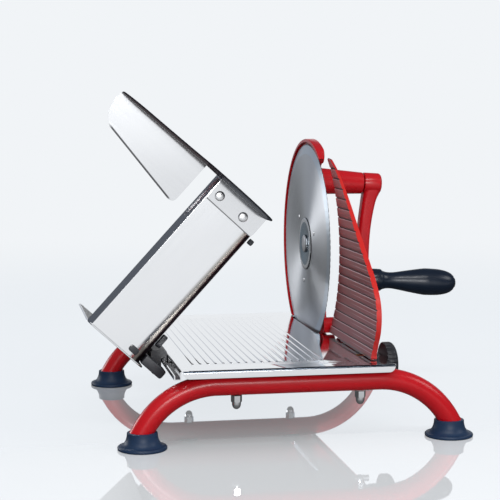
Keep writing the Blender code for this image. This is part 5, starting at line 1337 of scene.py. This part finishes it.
class SLICER_OT_knob(bpy.types.Operator):
    """Mould the ridged knob"""

    bl_idname = "slicer.knob"
    bl_label = "Thickness Knob"

    def execute(self, context):
        sizes = context.scene.slicer_stop
        low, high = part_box("thickness_knob")
        start = low.x - AXLE.x
        end = high.x - AXLE.x
        corners = sizes.ridges * 8
        stations = [(start, -0.9, 0.3), (start + 0.3 * MM, -0.3, 0.7), (start + 0.9 * MM, 0, 1)]
        stations += [
            (end - run * MM, rise, ridge) for run, rise, ridge in (
                (4.6, 0, 1), (3.4, -0.3, 1), (2.3, -1.1, 0.8), (1.3, -2.3, 0.3), (0.5, -3.9, 0), (0.1, -5.6, 0),
                (0.1, -7.5, 0), (0.9, -8.6, 0), (1.1, -10.5, 0),
            )
        ]
        sections = []
        for x, rise, ridge in stations:
            ring = []
            for turn in [2 * pi * k / corners for k in range(corners)]:
                dip = 0.8 * MM * ridge * max(0.0, sin(turn * sizes.ridges)) ** 0.5
                reach = sizes.knob / 2 + rise * MM - dip
                ring.append((x, reach * cos(turn), reach * sin(turn)))
            sections.append(ring)
        knob = loft("ridged_knob", sections)
        cut(knob, rod("bore", "X", start - CUT, start + 6.3 * MM, 4.3 * MM))
        seat(knob, Matrix.Translation((AXLE.x, SCREW.y, SCREW.z)))
        dress(knob, 35, "knob", black_plastic, "black_plastic", "thickness_knob")
        return {"FINISHED"}


# Carriage


class SLICER_OT_tray(bpy.types.Operator):
    """Fold the tray with its sloping top band and end plate"""

    bl_idname = "slicer.tray"
    bl_label = "Carriage Tray"

    def execute(self, context):
        sizes = context.scene.slicer_carriage
        sheet = sizes.sheet
        bend = sizes.bend
        low = FLOOR_UNDER
        top = low + sizes.height
        edge = WALL_Y + sizes.depth
        band = top - sizes.band
        step = sheet * cos(pi / 4)
        fold = 0.5 * MM
        corner = (WALL_Y + bend, low + bend)
        section = [(edge, low)] + arc(corner, bend, 1.5 * pi, pi, 40)
        section += arc((WALL_Y + fold, band - 0.4 * MM), fold, pi, 0.75 * pi, 3)
        section += [(WALL_Y + sizes.band, top), (WALL_Y + sizes.band + step, top - step)]
        section += [(WALL_Y + sheet + 0.5 * MM, band - step * 0.4), (WALL_Y + sheet, band - 0.9 * MM)]
        section += arc(corner, bend - sheet, pi, 1.5 * pi, 40) + [(edge, low + sheet)]
        tray = slab("folded_tray", section, "X", TRAY_LEFT, TRAY_RIGHT)
        face = rounded_box(WALL_Y - 0.3 * MM, edge, low - 4 * MM, top, 6 * MM, 8)
        plate = slab("end_plate", face, "X", TRAY_LEFT - sheet, TRAY_LEFT + 0.2 * MM)
        round_edges(plate, 0.3 * MM, 2, 50)
        cut(tray, plate, "UNION")
        seat(tray, CARRIAGE_PLACE)
        dress(tray, 6, "carriage", tray_steel, "polished_stainless", "carriage_tray")
        return {"FINISHED"}


class SLICER_OT_guard(bpy.types.Operator):
    """Fold the finger guard and rivet it to the tray's wall"""

    bl_idname = "slicer.guard"
    bl_label = "Finger Guard"

    def execute(self, context):
        sizes = context.scene.slicer_carriage
        sheet = 1.2 * MM
        face = WALL_Y - SEAT_GAP
        panel_x = -6.6 * MM
        low = FLOOR_UNDER
        fold = low + sizes.fin_start
        lean = 0.028
        outline = [(y, low + height) for y, height in self.panel_outline(sizes, face)]
        guard = slab("folded_guard", outline, "X", panel_x, panel_x + sheet)
        take_all()
        bpy.ops.mesh.bisect(plane_co=(0, 0, fold), plane_no=(0, 0, 1))
        mode("OBJECT")
        for vertex in guard.data.vertices:
            vertex.co.x -= max(0.0, vertex.co.z - fold) * lean
        round_edges(guard, 0.25 * MM, 2, 50)
        right = panel_x + sheet * 0.7
        left = panel_x - 20 * MM
        foot = low + 1.5 * MM
        top = low + 52.4 * MM
        tab = rounded_corners([(left, foot), (right, foot), (right, top), (left, top)], [4 * MM, 0, 0, 0])
        cut(guard, slab("tab", tab, "Y", face - sheet, face), "UNION")
        fin = [(x, low + height) for x, height in self.fin_outline(sizes, right, lean)]
        cut(guard, slab("fin", fin, "Y", face - sheet, face), "UNION")
        seat(guard, CARRIAGE_PLACE)
        dress(guard, 24, "carriage", guard_steel, "polished_stainless", "finger_guard")
        self.add_rivets(face - sheet - SEAT_GAP)
        return {"FINISHED"}

    def panel_outline(self, sizes, wall):
        """Side panel beside the blade, as distances along Y and heights over the floor."""
        base = wall - sizes.panel
        top = sizes.fin_top
        near = [(wall - 17 * MM, 2.8 * MM), (wall - 33 * MM, 4 * MM)]
        near += [
            (base + y * MM, z * MM) for y, z in (
                (4.5, 10), (0, 27), (2, 50), (9, 75), (15, 100), (18, 125), (20, 141), (24, 151), (29, 157),
            )
        ]
        near.append((base + 35 * MM, top - 0.6 * MM))
        return [(wall, 2 * MM)] + smooth_line(near, 5) + [(wall, top)]

    def fin_outline(self, sizes, right, lean):
        """Fin above the wall, with its round top corner."""
        top = sizes.fin_top
        left = right - sizes.fin_width
        shift = (top - sizes.fin_start) * lean
        crown = [
            (left + x * MM, top + z * MM) for x, z in (
                (35.6, 0.6), (30.7, 0.6), (25.5, -0.7), (20.8, -2.8), (16.3, -6.1), (12.9, -11),
            )
        ]
        points = [(right, sizes.fin_start), (right - shift, top - 0.4 * MM)] + smooth_line(crown, 4)
        points.append((left, sizes.fin_start))
        return rounded_corners(points, [0] * (len(points) - 1) + [6 * MM])

    def add_rivets(self, start):
        """Two dome-headed rivets through the guard's tab and the wall, turned once and copied."""
        inner = WALL_Y + 1.2 * MM + SEAT_GAP
        head = 4.2 * MM
        profile = arc((start, 0), (-1.3 * MM, head), 0, pi / 2, 9)
        profile += [(start, 2 * MM), (inner, 2 * MM), (inner, 3.2 * MM), (inner + 0.7 * MM, 3.1 * MM)]
        profile += [(inner + 1.2 * MM, 2.6 * MM), (inner + 1.2 * MM, 0)]
        place = (TRAY_RIGHT - 13.3 * MM, 0, FLOOR_UNDER + 18 * MM)
        lower = seat(turn_up("dome_rivet_1", profile, "Y", place, 48), CARRIAGE_PLACE)
        upper = copy_of(lower, "dome_rivet_2", CARRIAGE_PLACE.to_3x3() @ Vector((0, 0, 26.5 * MM)))
        dress(lower, 40, "carriage", rivet_steel, "polished_stainless", "guard_rivet_1")
        dress(upper, 40, "carriage", rivet_steel, "polished_stainless", "guard_rivet_2")


class SLICER_OT_hinge(bpy.types.Operator):
    """Mould the hinge blocks, runners and wall plug"""

    bl_idname = "slicer.hinge"
    bl_label = "Hinge and Runners"

    def execute(self, context):
        self.add_blocks()
        self.add_runners()
        refinish(black_plastic, "carriage_slider")
        return {"FINISHED"}

    def add_blocks(self):
        half = 4.2 * MM
        top = FLOOR_UNDER - SEAT_GAP - HINGE.z
        foot = -half - 1 * MM
        round_foot = 2.4 * MM
        outline = rounded_corners(
            [(-half, top), (-half, foot), (half, foot), (half, top)], [0, round_foot, round_foot, 0], 8
        )
        place = CARRIAGE_PLACE @ Matrix.Translation((HINGE_X, 0, HINGE.z))
        y = WALL_Y + 2 * MM
        for node, y0, y1 in (("near_hinge_block", y, y + 16 * MM), ("far_hinge_block", y + 43.6 * MM, y + 55.6 * MM)):
            block = slab(node + "_body", outline, "Y", y0, y1)
            round_edges(block, 0.6 * MM, 3, 50)
            seat(block, place)
            dress(block, 30, "carriage", black_plastic, "black_plastic", node)

    def add_runners(self):
        """Pad and peg under the floor, and the plug in the wall."""
        top = FLOOR_UNDER - SEAT_GAP
        low = PLATE_TOP + 0.8 * MM
        x0 = TRAY_LEFT + 20.3 * MM
        y0 = WALL_Y + 5 * MM
        pad = slab("runner_pad", rounded_box(x0, x0 + 12 * MM, y0, y0 + 7 * MM, 2.5 * MM, 8), "Z", low, top)
        radius = 2.5 * MM
        profile = [(low, 0), (low, radius - 0.7 * MM), (low + 0.2 * MM, radius - 0.2 * MM)]
        profile += [(low + 0.7 * MM, radius), (top, radius), (top, 0)]
        peg = turn_up("runner_peg", profile, "Z", (TRAY_RIGHT - 24.5 * MM, y0 - 0.5 * MM, 0), 40)
        face = WALL_Y - SEAT_GAP
        x = TRAY_LEFT + 6.4 * MM
        z = FLOOR_UNDER + 12 * MM
        outline = rounded_box(x - 2.8 * MM, x + 2.8 * MM, z - 4.2 * MM, z + 4.2 * MM, 1.8 * MM, 8)
        clip = slab("wall_plug", outline, "Y", face - 2 * MM, face)
        for piece in (pad, clip):
            round_edges(piece, 0.5 * MM, 3, 50)
        for piece, node in ((pad, "glider_pad"), (peg, "glider_peg"), (clip, "wall_clip")):
            seat(piece, CARRIAGE_PLACE)
            dress(piece, 35, "carriage", black_plastic, "black_plastic", node)


# Stage


def lamp(name, place, aim, size, power):
    made = bpy.data.lights.new(name, "AREA")
    made.shape = "RECTANGLE"
    made.size, made.size_y = size
    made.energy = power
    thing = bpy.data.objects.new(name, made)
    bpy.context.scene.collection.objects.link(thing)
    thing.location = place
    thing.rotation_euler = (Vector(aim) - Vector(place)).to_track_quat("-Z", "Y").to_euler()
    thing.visible_camera = False
    return thing


class SLICER_OT_stage(bpy.types.Operator):
    """Set the floor, lamps, sky and camera"""

    bl_idname = "slicer.stage"
    bl_label = "Stage"

    def execute(self, context):
        backdrop = context.scene.slicer_colours.backdrop
        self.set_camera(context.scene)
        self.set_floor(backdrop)
        self.set_sky(context.scene, backdrop)
        lamp("high_strip", (-0.2, -1.0, 1.35), (0, 0, 0.05), (1.2, 0.14), 11)
        lamp("front_box", (-0.15, -1.9, 0.56), (0, 0, 0.15), (1.0, 0.25), 15)
        lamp("right_box", (1.4, -0.6, 1.1), (0, 0, 0.1), (0.6, 0.6), 5)
        lamp("left_box", (-1.25, 1.25, 0.4), (0, 0, 0.15), (0.5, 0.5), 5).visible_diffuse = False
        return {"FINISHED"}

    def set_camera(self, scene):
        lens = bpy.data.cameras.new("camera")
        lens.lens = 103.68
        lens.sensor_width = 36
        lens.shift_y = -0.004
        camera = bpy.data.objects.new("camera", lens)
        scene.collection.objects.link(camera)
        camera.location = AXLE + Vector((-0.30707, -1.33967, 0.13793))
        camera.rotation_euler = (radians(90 - 5.916), 0, radians(-10.686))
        scene.camera = camera

    def set_floor(self, backdrop):
        """A pale glossy floor. Metal sees it bright in front and dark behind, as in a studio."""
        drop_all()
        bpy.ops.mesh.primitive_circle_add(vertices=96, radius=6, fill_type="NGON")
        floor = bpy.context.object
        floor.name = "floor"
        sheet = Sheet("pale_floor")
        spot = sheet.here()
        x, y, _ = sheet.split(spot)
        reach = sheet.vector("LENGTH", spot, out="Value")
        matt = sheet.add("ShaderNodeBsdfDiffuse", {"Color": (*darker(backdrop, 0.4), 1)})
        gloss = sheet.add("ShaderNodeBsdfGlossy", {"Color": (0.96, 0.98, 1, 1), "Roughness": 0.02})
        rest = sheet.add("ShaderNodeAddShader", {0: matt, 1: sheet.glow(backdrop, 0.58)})
        near = sheet.blend(0.35 + 0.35 * y.above(-0.12, 0.16), rest, gloss)
        seen = sheet.blend(reach.above(1.15, 1.1), near, sheet.glow(backdrop, 1.0))
        level = 0.08 + 0.85 * y.below(-0.3, 0.4) + 0.32 * y.above(0.5, 0.5) * x.below(-0.12, 0.1)
        bounce = sheet.add("ShaderNodeBsdfDiffuse", {"Color": (0.4, 0.41, 0.43, 1)})
        sheet.show(sheet.by_ray(seen, sheet.glow(backdrop, level), bounce))
        floor.data.materials.append(sheet.material)

    def set_sky(self, scene, backdrop):
        """Pale where the camera, the floor and the flat steel look, dark elsewhere in mirrors, soft for fill."""
        scene.world = bpy.data.worlds.new("sky")
        sky = Sheet("sky", scene.world)
        sky.nodes.clear()
        x, y, z = sky.split(sky.add("ShaderNodeTexCoord", out="Generated"))
        behind = y.above(0.7, 0.3) * z.below(0.36, 0.14)
        front = y.below(-0.86, 0.16) * z.below(0.14, 0.14)
        level = 0.12 + behind * (0.42 + 0.46 * x.above(-0.07, 0.1)) + 1.0 * front
        tint = sky.mix(level, (0.7, 0.8, 1.0), backdrop)
        seen = sky.add("ShaderNodeBackground", {0: (*backdrop, 1), 1: 1.0})
        mirrored = sky.add("ShaderNodeBackground", {0: tint, 1: level})
        fill = sky.add("ShaderNodeBackground", {0: (0.97, 0.98, 1.0, 1), 1: 0.18 + 0.5 * z.above(0.4, 0.9)})
        out = sky.nodes.new("ShaderNodeOutputWorld")
        sky.feed(out.inputs["Surface"], sky.by_ray(seen, mirrored, fill))
        scene.view_settings.view_transform = "Standard"


OPERATORS = (
    SLICER_OT_stage, SLICER_OT_stand, SLICER_OT_feet, SLICER_OT_nuts, SLICER_OT_plate, SLICER_OT_blade,
    SLICER_OT_casting, SLICER_OT_crank, SLICER_OT_stop, SLICER_OT_knob, SLICER_OT_tray, SLICER_OT_guard,
    SLICER_OT_hinge,
)

GROUPS = {
    "slicer_stand": SlicerStandSizes,
    "slicer_plate": SlicerPlateSizes,
    "slicer_blade": SlicerBladeSizes,
    "slicer_casting": SlicerCastingSizes,
    "slicer_crank": SlicerCrankSizes,
    "slicer_stop": SlicerStopSizes,
    "slicer_carriage": SlicerCarriageSizes,
    "slicer_colours": SlicerColours,
}


class SLICER_PT_panel(bpy.types.Panel):
    """The slicer's sizes and the steps that make it"""

    bl_idname = "SLICER_PT_panel"
    bl_label = "Food Slicer"
    bl_space_type = "VIEW_3D"
    bl_region_type = "UI"
    bl_category = "Slicer"

    def draw(self, context):
        for name, group in GROUPS.items():
            box = self.layout.box()
            for size in group.__annotations__:
                box.prop(getattr(context.scene, name), size)
        for operator in OPERATORS:
            self.layout.operator(operator.bl_idname)


def register():
    for part in (*GROUPS.values(), *OPERATORS, SLICER_PT_panel):
        bpy.utils.register_class(part)
    for name, group in GROUPS.items():
        setattr(bpy.types.Scene, name, PointerProperty(type=group))


def unregister():
    for name in GROUPS:
        delattr(bpy.types.Scene, name)
    for part in (SLICER_PT_panel, *reversed(OPERATORS), *reversed(GROUPS.values())):
        bpy.utils.unregister_class(part)


def main():
    register()
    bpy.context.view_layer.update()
    for operator in OPERATORS:
        group, name = operator.bl_idname.split(".")
        getattr(getattr(bpy.ops, group), name)()


if __name__ == "__main__":
    main()
